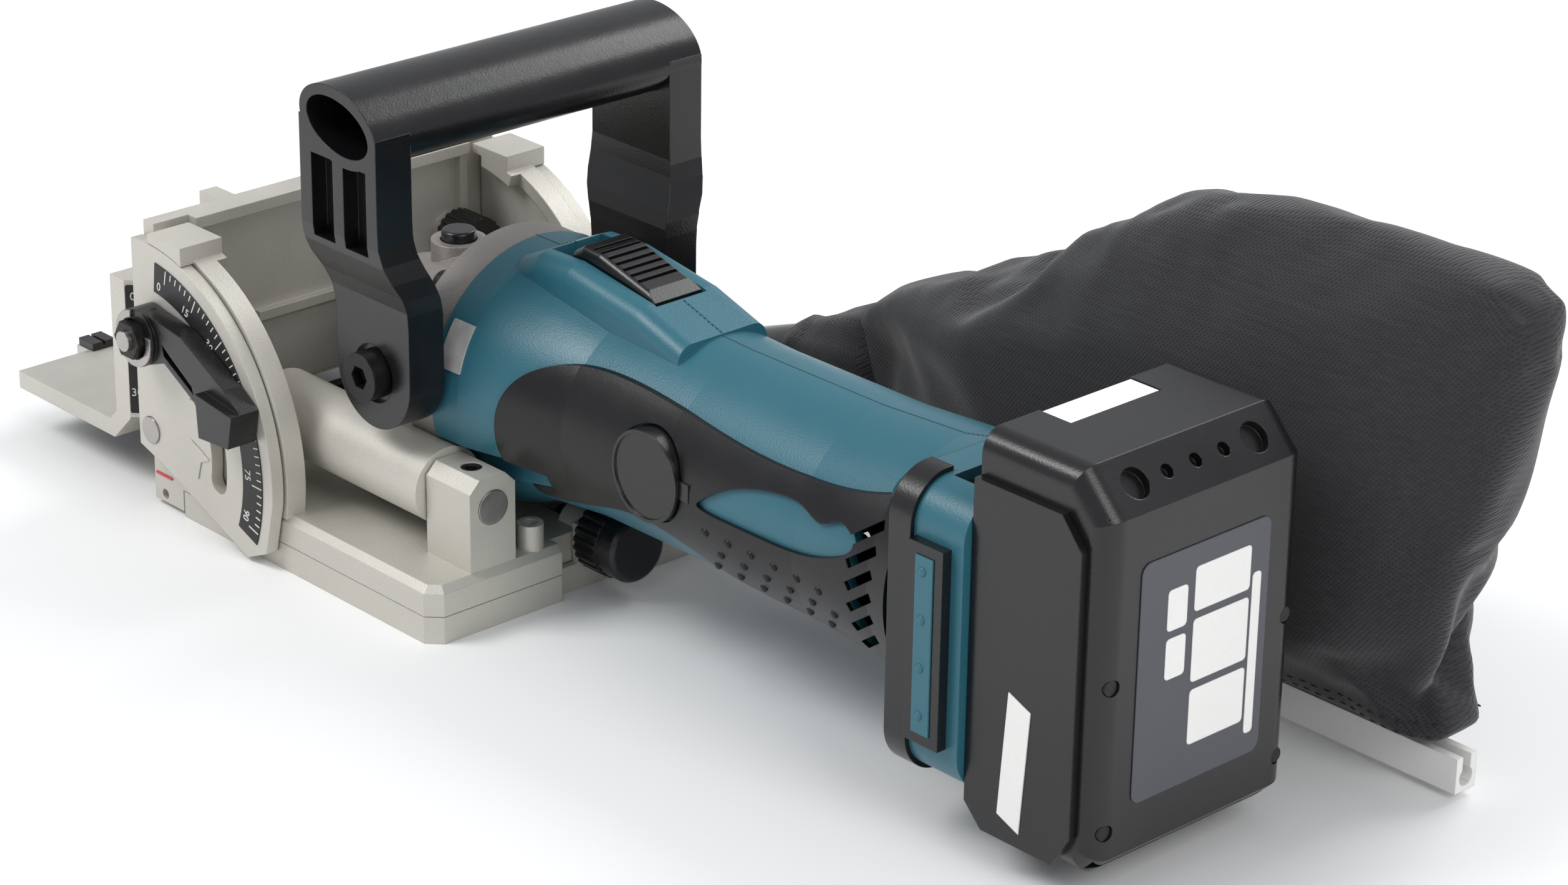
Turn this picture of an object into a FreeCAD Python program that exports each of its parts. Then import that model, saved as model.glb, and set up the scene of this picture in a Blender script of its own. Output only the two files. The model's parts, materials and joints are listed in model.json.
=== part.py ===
"""Cordless biscuit joiner. Millimetres, X rearward, Y to the tool's right, Z up.

Shapes are drawn from the front working face and exported with the origin on the sole,
in the middle plane, under the blade's axis.
"""
import FreeCAD, Part
import math
import os

V = FreeCAD.Vector
X_AXIS = V(1, 0, 0)
Y_AXIS = V(0, 1, 0)
Z_AXIS = V(0, 0, 1)
SIDES = (("left", -1), ("right", 1))

# ---- cutting geometry -------------------------------------------------------
blade_radius = 50.0
blade_thickness = 4.0
blade_height = 10.0
cutting_depth = 20.0
blade_setback = 2.0
plunge_travel = cutting_depth + blade_setback
spindle_x = blade_setback + blade_radius
blade_clearance = 1.5

# ---- clearances -------------------------------------------------------------
running_fit = 0.04
gap = 0.3

# ---- base -------------------------------------------------------------------
base_length = 130.0
base_half_width = 62.0
plate_thickness = 8.0
casting_bottom = plate_thickness + 0.2
casting_top = 17.0
edge_chamfer = 2.0
corner_chamfer = 4.0
nose_length = 14.0
nose_land = 10.0
nose_inner = base_half_width - nose_land
nose_bottom = 1.5
nose_top = 18.5
post_length = 19.0
post_rear = base_length - 2.0
post_height = 44.0
post_chamfer = 3.5
post_width = 16.0
cheek_thickness = 5.0
cheek_inner = base_half_width - cheek_thickness
cheek_radius = 59.0
rim_width = 4.0
knob_recess_x = 124.5
knob_recess_half = 16.0

# ---- rods and sleeves ---------------------------------------------------------
rod_y = 39.0
rod_z = 34.9
rod_radius = 5.0
lug_front = 6.5
lug_thickness = 4.0
sleeve_wall = 3.6
spring_clearance = 2.8
sleeve_bore = rod_radius + spring_clearance
sleeve_radius = sleeve_bore + sleeve_wall
sleeve_front = 33.0
bush_length = 22.0
spring_room = 43.0

# ---- lower plate and its clamp ---------------------------------------------------
hinge_x = 5.0
hinge_z = 4.0
hinge_pin_radius = 1.5
knob_radius = 10.5
knob_length = 16.0
knob_z = 15.5
clamp_screw_radius = 3.0
tab_thickness = 2.0
tab_play = 1.2

# ---- angle guide -------------------------------------------------------------
pivot_x = 6.0
pivot_z = 26.0
pivot_pin_radius = 4.0
quadrant_clearance = 0.6
quadrant_inner = base_half_width + quadrant_clearance
quadrant_thickness = 3.9
clamp_stud_reach = 12.5
quadrant_radius = 58.0
slot_radius = 33.0
slot_half_width = 3.6
slot_start = -10.0
slot_end = 80.0
guide_thickness = 5.0
guide_height = 88.0
guide_bottom = 25.5
rail_depth = 9.0

# ---- height fence --------------------------------------------------------------
shelf_front = -70.0
shelf_bottom = 14.0
shelf_top = 19.5
leg_front = -18.5
leg_rear = -11.5
leg_top = 66.0
end_flange_rear = -5.9
pad_thickness = 1.5
rack_pitch_radius = 5.6
pinion_teeth = 14
dial_y = 45.0
dial_z = 60.0
dial_radius = 8.0

# ---- gear housing ------------------------------------------------------------
axis_z = 58.5
head_radius = 19.5
ring_radius = 38.0
ring_front = 89.0
ring_rear = 101.0
bearing_radius = 14.0
head_top = 68.0
head_bottom = casting_top + gap

# ---- D handle --------------------------------------------------------------------
bar_x = 87.5
bar_z = 138.0
bar_half_length = 58.0
bar_major = 16.8
bar_minor = 10.6
bar_wall = 3.2
bar_tilt = 12.0
leg_outer_top = 58.0
leg_outer_foot = 52.0
leg_inner_foot = 40.0
foot_x = 93.0
foot_z = 67.0
foot_radius = 16.0
handle_bolt_radius = 4.0

# ---- motor housing: x, half width, bottom, top ----------------------------------
housing_sections = (
    (101.0, 38.5, 20.0, 97.0),
    (112.0, 38.0, 21.0, 97.0),
    (126.0, 35.5, 26.5, 94.5),
    (150.0, 31.8, 28.6, 91.2),
    (190.0, 30.6, 28.6, 90.0),
    (240.0, 31.0, 28.6, 90.2),
    (270.0, 33.2, 26.8, 92.0),
    (288.0, 38.0, 21.0, 96.0),
)
housing_wall = 2.6
skin_thickness = 1.3
tail_front = 284.0
tail_rear = 309.0
tail_half_width = 40.0
tail_bottom = 18.0
tail_top = 97.0
collar_front = 279.0
collar_rear = 292.0
collar_step = 1.3
collar_flare = 5.5

# ---- motor -------------------------------------------------------------------
yoke_radius = 25.0
yoke_wall = 2.5
yoke_front = 113.0
yoke_rear = 176.0
core_radius = 19.6
shaft_radius = 4.0
commutator_x = 184.0
commutator_radius = 11.0
gear_teeth = 37
pinion_gear_teeth = 12
mesh_inner = 10.0
mesh_outer = 15.0
mesh_ratio = pinion_gear_teeth / gear_teeth
mesh_gap = 0.15

# ---- battery -----------------------------------------------------------------
battery_front = tail_rear + 0.4
battery_rear = 351.3
battery_half_width = 35.2
panel_thickness = 2.3
battery_bottom = 9.5
battery_top = 115.5
cell_radius = 9.1
cell_length = 65.0
cell_pitch = 18.4

# ---- depth stop --------------------------------------------------------------
turret_y = 49.0
turret_z = 56.0
turret_radius = 9.5
turret_front = post_rear - post_length + 3.2
turret_rear = turret_front + 12.0
step_radius = 6.2
step_heights = (0.0, 2.5, 5.0, 7.5, 10.0, 12.0)
stop_lug_x = 162.0

# ---- dust extraction ---------------------------------------------------------
port_x = 88.0
port_z = 28.0
port_bore = 10.5
nozzle_radius = 14.0
nozzle_wall = 2.0
nozzle_rise = 20.0
nozzle_length = 58.0
bag_offset = 21.0
bag_y = base_half_width + bag_offset
bag_thickness = 42.0
closing_rail_front = 190.0
closing_rail_rear = 371.0

pieces = {}


# ---- helpers -------------------------------------------------------------------
def block(x, y, z):
    """Box from three (low, high) pairs."""
    return Part.makeBox(x[1] - x[0], y[1] - y[0], z[1] - z[0], V(x[0], y[0], z[0]))


def pair(make):
    """The left and right copies of a small part, as two solids of one node."""
    return Part.makeCompound([make(side) for name, side in SIDES])


def side_span(side, near, far):
    """Low and high Y for a span given by its distances from the middle plane."""
    return (near, far) if side > 0 else (-far, -near)


def rod_x(y, z, radius, low, high):
    return Part.makeCylinder(radius, high - low, V(low, y, z), X_AXIS)


def rod_along_y(x, z, radius, low, high):
    return Part.makeCylinder(radius, high - low, V(x, low, z), Y_AXIS)


def rod_along_z(x, y, radius, low, high):
    return Part.makeCylinder(radius, high - low, V(x, y, low), Z_AXIS)


def prism_y(points, low, high):
    """Outline of (x, z) points made solid from Y low to Y high."""
    corners = [V(x, low, z) for x, z in points]
    face = Part.Face(Part.makePolygon(corners + corners[:1]))
    return face.extrude(V(0, high - low, 0))


def prism_x(points, low, high):
    """Outline of (y, z) points made solid from X low to X high."""
    corners = [V(low, y, z) for y, z in points]
    face = Part.Face(Part.makePolygon(corners + corners[:1]))
    return face.extrude(V(high - low, 0, 0))


def smooth_prism_y(points, low, high, closed):
    """Curved outline through (x, z) points, closed by a straight line unless it is all curve."""
    curve = Part.BSplineCurve()
    curve.interpolate([V(x, low, z) for x, z in points], PeriodicFlag=closed)
    edges = [curve.toShape()]
    if not closed:
        edges.append(Part.makeLine(edges[0].Vertexes[-1].Point, edges[0].Vertexes[0].Point))
    return Part.Face(Part.Wire(edges)).extrude(V(0, high - low, 0))


def stadium(x_front, x_rear, radius, low, high):
    """Vertical slot shape whose round ends sit at two places along X."""
    shape = rod_along_z(x_front, 0, radius, low, high)
    shape = shape.fuse(rod_along_z(x_rear, 0, radius, low, high))
    return shape.fuse(block((x_front, x_rear), (-radius, radius), (low, high)))


def polar(angle, radius):
    """Point (x, z) at an angle and distance from the guide's pivot."""
    turn = math.radians(angle)
    return pivot_x + radius * math.cos(turn), pivot_z + radius * math.sin(turn)


def arc_band(inner, outer, start, end, low, high):
    """Curved band about the guide's pivot, from Y low to Y high."""
    middle = 0.5 * (start + end)
    rim = [polar(angle, r) for r, angle in ((outer, start), (outer, middle), (outer, end))]
    hub = [polar(angle, r) for r, angle in ((inner, end), (inner, middle), (inner, start))]
    a = [V(x, low, z) for x, z in rim]
    b = [V(x, low, z) for x, z in hub]
    edges = [Part.Arc(*a).toShape(), Part.makeLine(a[2], b[0])]
    edges += [Part.Arc(*b).toShape(), Part.makeLine(b[2], a[0])]
    return Part.Face(Part.Wire(edges)).extrude(V(0, high - low, 0))


def hexagon_y(x, z, across, low, high):
    corners = [(x + across / math.sqrt(3) * math.cos(math.radians(60 * k)),
                z + across / math.sqrt(3) * math.sin(math.radians(60 * k))) for k in range(6)]
    return prism_y(corners, low, high)


def hexagon_x(y, z, across, low, high):
    corners = [(y + across / math.sqrt(3) * math.cos(math.radians(60 * k)),
                z + across / math.sqrt(3) * math.sin(math.radians(60 * k))) for k in range(6)]
    return prism_x(corners, low, high)


def coil(x, y, z, radius, wire_radius, length, turns, axis):
    """Helical spring starting at a point and running along an axis."""
    pitch = length / turns
    path = Part.makeHelix(pitch, length, radius)
    profile = Part.Wire(Part.makeCircle(wire_radius, V(radius, 0, 0), V(0, 1, 0)))
    spring = Part.Wire(path).makePipeShell([profile], True, True)
    spring.Placement = FreeCAD.Placement(V(x, y, z), FreeCAD.Rotation(Z_AXIS, axis))
    return spring


def ribbed_wheel(y, z, radius, low, high, ribs, depth):
    """Disc along X with grip grooves round its rim."""
    wheel = rod_x(y, z, radius, low, high)
    cuts = []
    for k in range(ribs):
        turn = 2 * math.pi * k / ribs
        reach = radius + depth * 0.4
        cuts.append(rod_x(y + reach * math.cos(turn), z + reach * math.sin(turn), depth, low - 1, high + 1))
    return wheel.cut(cuts)


def section(x, half_width, bottom, top):
    """Closed oval outline across the housing."""
    circle = Part.Wire(Part.makeCircle(1, V(0, 0, 0), X_AXIS))
    matrix = FreeCAD.Matrix()
    matrix.scale(V(1, half_width, 0.5 * (top - bottom)))
    matrix.move(V(x, 0, 0.5 * (top + bottom)))
    return circle.transformGeometry(matrix)


def housing_body(grow):
    """Oval body of the motor housing, grown outward (or inward) by a distance."""
    rings = [section(x, w + grow, b - grow, t + grow) for x, w, b, t in housing_sections]
    return Part.makeLoft(rings, True, True)


def half_width_at(x, z):
    """Distance from the middle plane to the housing surface at a place."""
    for first, second in zip(housing_sections, housing_sections[1:]):
        if first[0] <= x <= second[0]:
            share = (x - first[0]) / (second[0] - first[0])
            width, bottom, top = (first[i] + share * (second[i] - first[i]) for i in (1, 2, 3))
            middle, reach = 0.5 * (top + bottom), 0.5 * (top - bottom)
            return width * math.sqrt(max(0.0, 1 - ((z - middle) / reach) ** 2))
    return tail_half_width


# ---- base -------------------------------------------------------------------
def blade_room(low, high):
    """Space that the blade sweeps, with its clearance."""
    return stadium(spindle_x - plunge_travel, spindle_x, blade_radius + blade_clearance, low, high)


def cheek(side):
    """Upright quarter disc beside the guide, with a thicker rim."""
    low, high = side_span(side, cheek_inner, base_half_width)
    body = rod_along_y(pivot_x, pivot_z, cheek_radius, low, high)
    front = guide_thickness + 0.5
    body = body.common(block((front, pivot_x + cheek_radius), (low, high), (casting_top - 1, 90)))
    rim_low, rim_high = side_span(side, cheek_inner - 1.5, base_half_width)
    rim = rod_along_y(pivot_x, pivot_z, cheek_radius, rim_low, rim_high)
    rim = rim.cut(rod_along_y(pivot_x, pivot_z, cheek_radius - rim_width, rim_low, rim_high))
    rim = rim.common(block((front + 4, pivot_x + cheek_radius), (rim_low, rim_high), (casting_top - 1, 90)))
    pointer_low, pointer_high = side_span(side, cheek_inner - 5, quadrant_inner + quadrant_thickness)
    pointer = block((pivot_x + 2, pivot_x + 18), (pointer_low, pointer_high), (pivot_z + 52, pivot_z + 61))
    pointer = pointer.cut(rod_along_y(pivot_x, pivot_z, quadrant_radius + gap,
                                      pointer_low - 1, pointer_high + 1))
    root_low, root_high = side_span(side, cheek_inner - 5, base_half_width)
    root = arc_band(cheek_radius - rim_width, cheek_radius, 70, 84, root_low, root_high)
    return body.fuse([rim, pointer, root])


def front_lug(side):
    half = post_width / 2
    low, high = side_span(side, rod_y - half, rod_y + half)
    lug = block((lug_front, lug_front + lug_thickness), (low, high), (casting_top - 1, rod_z + half))
    return lug.makeFillet(half - 1, [e for e in lug.Edges
                                     if abs(e.Length - lug_thickness) < 0.01 and e.CenterOfMass.z > rod_z])


def rear_post(side):
    half = post_width / 2
    low, high = side_span(side, rod_y - half, rod_y + half)
    post = block((post_rear - post_length, post_rear), (low, high), (casting_bottom, post_height))
    top_edges = [e for e in post.Edges if e.CenterOfMass.z > post_height - 0.01 and e.Length > post_width + 1]
    return post.makeChamfer(post_chamfer, top_edges)


def port_block():
    """Dust outlet boss on the right, with its bore across the tool."""
    half = port_bore + 3
    body = block((port_x - half, port_x + half), (rod_y + sleeve_radius + gap + 0.6, base_half_width),
                 (casting_top - 1, port_z))
    return body.fuse(rod_along_y(port_x, port_z, half, rod_y + sleeve_radius + gap + 0.6, base_half_width))


def turret_bracket():
    """Upright on the right post that carries the depth turret."""
    front = post_rear - post_length
    plate = block((front + 0.5, front + 3), (41, 58), (post_height - 6, 66))
    foot = block((front + 0.5, front + 3), (46, 58), (casting_top - 1, 50))
    return plate.fuse([foot, rod_x(turret_y, turret_z, 3, front + 1, turret_rear - 6)])


def base_casting():
    slab = block((0, base_length), (-base_half_width, base_half_width), (casting_bottom, casting_top))
    upright = [e for e in slab.Edges if abs(e.Length - (casting_top - casting_bottom)) < 0.01
               and e.CenterOfMass.x > base_length - 1]
    slab = slab.makeChamfer(corner_chamfer, upright)
    top_edges = [e for e in slab.Edges if e.CenterOfMass.z > casting_top - 0.01
                 and e.CenterOfMass.x > 1]
    slab = slab.makeChamfer(edge_chamfer, top_edges)
    slab = slab.cut(block((-1, nose_length + 1), (-nose_inner, nose_inner), (nose_top, nose_top + 9)))
    parts = []
    for name, side in SIDES:
        low, high = side_span(side, nose_inner, base_half_width)
        parts.append(block((0, nose_length), (low, high), (nose_bottom, nose_top)))
        parts += [cheek(side), front_lug(side), rear_post(side)]
    parts.append(rod_x(0, knob_z, 6, 116, knob_recess_x))
    parts.append(rod_along_z(124.5, -23, 3.8, casting_top - 1, 24.5))
    parts.append(rod_along_z(124.5, 23, 3.8, casting_top - 1, 24.5))
    parts += [port_block(), turret_bracket()]
    body = slab.fuse(parts).removeSplitter()
    cuts = [blade_room(casting_bottom - 1, blade_height + blade_thickness / 2 + blade_clearance)]
    cuts.append(stadium(spindle_x - plunge_travel, spindle_x, 18.6, casting_bottom, casting_top + 1))
    cuts.append(block((knob_recess_x, base_length + 1), (-knob_recess_half, knob_recess_half),
                      (casting_bottom - 1, casting_top + 6)))
    cuts.append(rod_x(0, knob_z, clamp_screw_radius + running_fit, 100, base_length))
    cuts.append(block((port_x - 9, port_x + 9), (25, base_half_width - 3), (casting_bottom - 1, 13.5)))
    cuts.append(block((port_x - 9, port_x + 9), (52.5, base_half_width - 3), (casting_bottom, port_z)))
    cuts.append(rod_along_y(port_x, port_z, port_bore, 52.5, base_half_width + 1))
    cuts.append(rod_along_y(hinge_x, hinge_z, hinge_pin_radius + running_fit,
                            -base_half_width - 8, base_half_width + 8))
    cuts.append(rod_along_y(*stud_place(), 3 + running_fit, -base_half_width - 8, -cheek_inner + 7))
    for name, side in SIDES:
        cuts.append(rod_x(side * rod_y, rod_z, rod_radius + running_fit, lug_front - 1, base_length))
        cuts.append(rod_along_z(post_rear - 9, side * rod_y, 3 + running_fit, rod_z, post_height + 1))
        cuts.append(rod_along_z(124.5, side * 23, 2, casting_top + 1, 25))
        low, high = side_span(side, cheek_inner - 10, base_half_width + 1)
        cuts.append(rod_along_y(pivot_x, pivot_z, pivot_pin_radius + running_fit, low, high))
    return body.cut(cuts)


def stud_place():
    return polar(slot_end, slot_radius)


def guide_rod(side):
    """Steel rod with the collar that its return spring pushes against."""
    collar = rod_x(side * rod_y, rod_z, rod_radius + 2, sleeve_front + 2, sleeve_front + 3.4)
    return rod_x(side * rod_y, rod_z, rod_radius, lug_front, post_rear + 0.4).fuse(collar)


def rod_set_screw(side):
    screw = rod_along_z(post_rear - 9, side * rod_y, 3, rod_z + rod_radius + 0.05, post_height - 0.3)
    return screw.cut(rod_along_z(post_rear - 9, side * rod_y, 1.6, post_height - 2.5, post_height))


def guide_pivot(side):
    low, high = side_span(side, cheek_inner - 3, quadrant_inner + quadrant_thickness + 0.5)
    return rod_along_y(pivot_x, pivot_z, pivot_pin_radius, low, high)


def make_base():
    pieces["base_casting"] = base_casting()
    pieces["cover_hinge_pin"] = rod_along_y(hinge_x, hinge_z, hinge_pin_radius,
                                            -base_half_width + 2, base_half_width - 2)
    reach = rod_y - post_width / 2 - gap
    pieces["dust_seal"] = block((lug_front, lug_front + 3.6), (-reach, reach), (casting_top, casting_top + 7))
    pieces["guide_rods"] = pair(guide_rod)
    pieces["rod_set_screws"] = pair(rod_set_screw)
    pieces["guide_pivots"] = pair(guide_pivot)
    x, z = stud_place()
    outer = -(quadrant_inner + quadrant_thickness + clamp_stud_reach)
    pieces["angle_clamp_stud"] = rod_along_y(x, z, 3, outer, -cheek_inner + 1)


# ---- lower plate --------------------------------------------------------------
def cover_plate():
    front = block((hinge_x, nose_length + 1), (-nose_inner + gap, nose_inner - gap), (0, plate_thickness))
    barrel = rod_along_y(hinge_x, hinge_z, hinge_z, -nose_inner + gap, nose_inner - gap)
    rear = block((nose_length + 0.5, base_length), (-base_half_width, base_half_width), (0, plate_thickness))
    upright = [e for e in rear.Edges if abs(e.Length - plate_thickness) < 0.01
               and e.CenterOfMass.x > base_length - 1]
    rear = rear.makeChamfer(corner_chamfer, upright)
    notch = block((knob_recess_x + 0.3 + tab_thickness, base_length + 1),
                  (-knob_recess_half, knob_recess_half), (-1, plate_thickness + 1))
    tab = block((knob_recess_x + 0.3, knob_recess_x + 0.3 + tab_thickness), (-8, 8), (0, knob_z + 4.5))
    slot = block((knob_recess_x - 1, knob_recess_x + 4), (-3.4, 3.4), (knob_z, knob_z + 9))
    slot = slot.fuse(rod_x(0, knob_z, 3.4, knob_recess_x - 1, knob_recess_x + 4))
    body = front.fuse([barrel, rear.cut(notch), tab]).removeSplitter()
    deep = stadium(spindle_x - plunge_travel, spindle_x, 16, 2.4, plate_thickness + 1)
    shallow = blade_room(blade_height - blade_thickness / 2 - 1.7, casting_top)
    pin = rod_along_y(hinge_x, hinge_z, hinge_pin_radius + running_fit,
                      -base_half_width - 8, base_half_width + 8)
    return body.cut([shallow.cut(block((knob_recess_x, 140), (-20, 20), (0, 40))), deep, slot, pin])


def make_cover():
    pieces["cover_plate"] = cover_plate()
    low = knob_recess_x + 0.3 + tab_thickness + tab_play
    knob = ribbed_wheel(0, knob_z, knob_radius, low, low + knob_length * 0.55, 24, 0.9)
    cap = rod_x(0, knob_z, knob_radius - 0.6, low + knob_length * 0.55, low + knob_length)
    cap = cap.makeFillet(1.6, [e for e in cap.Edges if e.CenterOfMass.x > low + knob_length - 0.1])
    screw = rod_x(0, knob_z, clamp_screw_radius, knob_recess_x - 14, low + 9)
    pieces["clamp_knob"] = knob.fuse([cap, screw])


# ---- angle guide ----------------------------------------------------------------
def quadrant(side):
    low, high = side_span(side, quadrant_inner, quadrant_inner + quadrant_thickness)
    disc = rod_along_y(pivot_x, pivot_z, quadrant_radius, low, high)
    tip = polar(-21, quadrant_radius)
    outline = [(0, pivot_z - 6), (pivot_x + 4, pivot_z - 9), (tip[0] - 9, tip[1] - 4), tip,
               (pivot_x + quadrant_radius + 1, pivot_z), (pivot_x + quadrant_radius + 1, 90), (0, 90)]
    body = disc.common(prism_y(outline, low, high))
    slot = arc_band(slot_radius - slot_half_width, slot_radius + slot_half_width,
                    slot_start, slot_end, low - 1, high + 1)
    ends = [rod_along_y(*polar(angle, slot_radius), slot_half_width, low - 1, high + 1)
            for angle in (slot_start, slot_end)]
    bore = rod_along_y(pivot_x, pivot_z, pivot_pin_radius + running_fit, low - 1, high + 1)
    return body.cut([slot, bore] + ends)


def guide_casting():
    wall = block((0, guide_thickness), (-base_half_width, base_half_width), (guide_bottom, guide_height))
    parts = []
    for name, side in SIDES:
        low, high = side_span(side, base_half_width - 1, quadrant_inner + quadrant_thickness)
        parts.append(block((0, guide_thickness), (low, high), (guide_bottom, pivot_z + 50)))
        parts.append(quadrant(side))
        low, high = side_span(side, 30, 36)
        parts.append(block((-rail_depth, 0), (low, high), (30, guide_height)))
        low, high = side_span(side, 47, 50)
        parts.append(block((guide_thickness, guide_thickness + 3), (low, high), (50, guide_height)))
    parts.append(block((guide_thickness, guide_thickness + 4), (-50, 50), (guide_height - 3.5, guide_height)))
    parts.append(block((guide_thickness, guide_thickness + 2.5), (-28, 28), (50, 53)))
    parts.append(rod_x(dial_y, dial_z, 6.5, guide_thickness - 1, guide_thickness + 2.4))
    body = wall.fuse(parts)
    cuts = [rod_x(dial_y, dial_z, 2.5 + running_fit, -20, 30)]
    cuts.append(block((-1, guide_thickness + 1), (-54, 54), (guide_bottom - 1, guide_bottom + 2)))
    for name, side in SIDES:
        low, high = side_span(side, cheek_inner - 7, base_half_width + 8)
        cuts.append(rod_along_y(pivot_x, pivot_z, pivot_pin_radius + running_fit, low, high))
    return body.cut(cuts).removeSplitter()


def make_guide():
    pieces["guide_casting"] = guide_casting()


def make_angle_lever():
    """Clamp lever on the stud, with its nut and open ring."""
    x, z = stud_place()
    inner = -(quadrant_inner + quadrant_thickness + 0.5)
    outer = inner - 7.5
    tip_x, tip_z = x + 46, z - 13
    hub = rod_along_y(x, z, 8.6, outer, inner)
    arm = prism_y([(x + 2, z + 8.2), (x + 20, z + 6), (tip_x - 6, tip_z + 9), (tip_x + 2, tip_z + 4),
                   (tip_x, tip_z - 6), (tip_x - 15, tip_z - 7), (tip_x - 20, tip_z + 1),
                   (x + 12, z - 4.5), (x + 2, z - 8.2)], outer + 1.2, inner)
    grip = prism_y([(tip_x - 15, tip_z + 6), (tip_x + 2, tip_z + 4),
                    (tip_x, tip_z - 6), (tip_x - 14, tip_z - 7)],
                   outer - 2, inner)
    window = prism_y([(x + 11, z + 1), (tip_x - 21, tip_z + 5.5), (tip_x - 20, tip_z + 3), (x + 12, z - 2.5)],
                     outer - 3, outer + 4)
    bore = rod_along_y(x, z, 3 + running_fit, outer - 5, inner + 1)
    nut_seat = hexagon_y(x, z, 10.3, outer - 1, outer + 4)
    pieces["angle_lever"] = hub.fuse([arm, grip]).cut([window, bore, nut_seat])
    nut = hexagon_y(x, z, 10.1, outer - 3.2, outer + 3.8)
    pieces["angle_lever_nut"] = nut.cut(rod_along_y(x, z, 3 + running_fit, outer - 5, inner))
    ring = rod_along_y(x, z, 8.4, outer - 0.9, outer - 0.05)
    ring = ring.cut(rod_along_y(x, z, 6.2, outer - 2, outer + 1))
    pieces["angle_lever_ring"] = ring.cut(block((x - 1, x + 12), (outer - 2, outer + 1), (z + 2, z + 12)))


# ---- height fence --------------------------------------------------------------
def fence_casting():
    outline = [(shelf_front, shelf_bottom), (shelf_front, shelf_top), (leg_front - 3.5, shelf_top),
               (leg_front, shelf_top + 3.5), (leg_front, leg_top), (leg_rear, leg_top),
               (leg_rear, shelf_bottom + 8.5), (leg_rear - 8.5, shelf_bottom)]
    body = prism_y(outline, -base_half_width, base_half_width)
    parts = []
    for name, side in SIDES:
        flange = [(side * (base_half_width - 6.2), leg_rear),
                  (side * (base_half_width - 6.2), end_flange_rear),
                  (side * base_half_width, leg_rear)]
        corners = [V(x, y, shelf_bottom + 9) for y, x in flange]
        face = Part.Face(Part.makePolygon(corners + corners[:1]))
        parts.append(face.extrude(V(0, 0, leg_top - shelf_bottom - 9)))
        for near, far in ((27, 30 - gap), (36 + gap, 39)):
            low, high = side_span(side, near, far)
            parts.append(block((leg_rear, end_flange_rear), (low, high), (30, leg_top)))
        low, high = side_span(side, 28, 37)
        parts.append(block((shelf_front - 6, shelf_front), (low, high), (shelf_bottom + 1, shelf_top)))
    return body.fuse(parts + [rack()]).removeSplitter()


def rack():
    """Toothed strip on the back of the fence, in mesh with the dial's pinion."""
    pitch = 2 * math.pi * rack_pitch_radius / pinion_teeth
    near = dial_y + rack_pitch_radius - 0.3
    strip = block((leg_rear, leg_rear + 4), (near + 1.6, near + 4.2), (dial_z - 37, leg_top))
    teeth = []
    count = int(36 / pitch)
    for k in range(-count, 3):
        z = dial_z + (k + 0.5) * pitch
        if z + 0.5 < leg_top:
            teeth.append(block((leg_rear, leg_rear + 4), (near, near + 1.6), (z - 0.45, z + 0.45)))
    return strip.fuse(teeth)


def fence_marker(side):
    low, high = side_span(side, 28.5, 36.5)
    marker = block((shelf_front - 5.5, shelf_front + 2), (low, high), (shelf_top, shelf_top + 2.4))
    groove = block((shelf_front - 6, shelf_front + 3), (side * 32.5 - 0.5, side * 32.5 + 0.5),
                   (shelf_top + 1.2, shelf_top + 3))
    return marker.cut(groove)


def make_fence():
    pieces["fence_casting"] = fence_casting()
    pieces["fence_pad"] = block((shelf_front + 4, leg_front - 6), (-base_half_width + 3, base_half_width - 3),
                                (shelf_bottom - pad_thickness, shelf_bottom))
    pieces["fence_markers"] = pair(fence_marker)


def make_dial():
    """Thumb wheel behind the guide and the pinion in front of it, on one shaft."""
    wheel = ribbed_wheel(dial_y, dial_z, dial_radius, guide_thickness + 3.3, guide_thickness + 15, 20, 0.8)
    shaft = rod_x(dial_y, dial_z, 2.5, leg_rear + 0.4, guide_thickness + 13)
    root = rod_x(dial_y, dial_z, rack_pitch_radius - 1.2, leg_rear + 0.6, -0.6)
    teeth = []
    for k in range(pinion_teeth):
        turn = 360.0 * k / pinion_teeth
        tooth = block((leg_rear + 0.6, -0.6), (dial_y + 2, dial_y + rack_pitch_radius + 0.25),
                      (dial_z - 0.45, dial_z + 0.45))
        tooth.rotate(V(0, dial_y, dial_z), X_AXIS, turn)
        teeth.append(tooth)
    pieces["height_dial"] = wheel.fuse([shaft, root] + teeth)


def make_fence_lever():
    """Far-side lever that clamps the fence to the guide."""
    inner = quadrant_inner + quadrant_thickness + 0.6
    x, z = leg_rear - 3.5, 52.0
    hub = rod_along_y(x, z, 8, inner, inner + 7)
    arm = prism_y([(x, z + 7.5), (x + 34, z - 2), (x + 36, z - 12), (x + 22, z - 13), (x, z - 7.5)],
                  inner + 0.5, inner + 6)
    pieces["fence_lever"] = hub.fuse([arm, rod_along_y(x, z, 3, base_half_width + 0.2, inner + 1)])


# ---- carriage ------------------------------------------------------------------
def sleeve_cylinders(radius, low, high):
    return [rod_x(side * rod_y, rod_z, radius, low, high) for name, side in SIDES]


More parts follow.
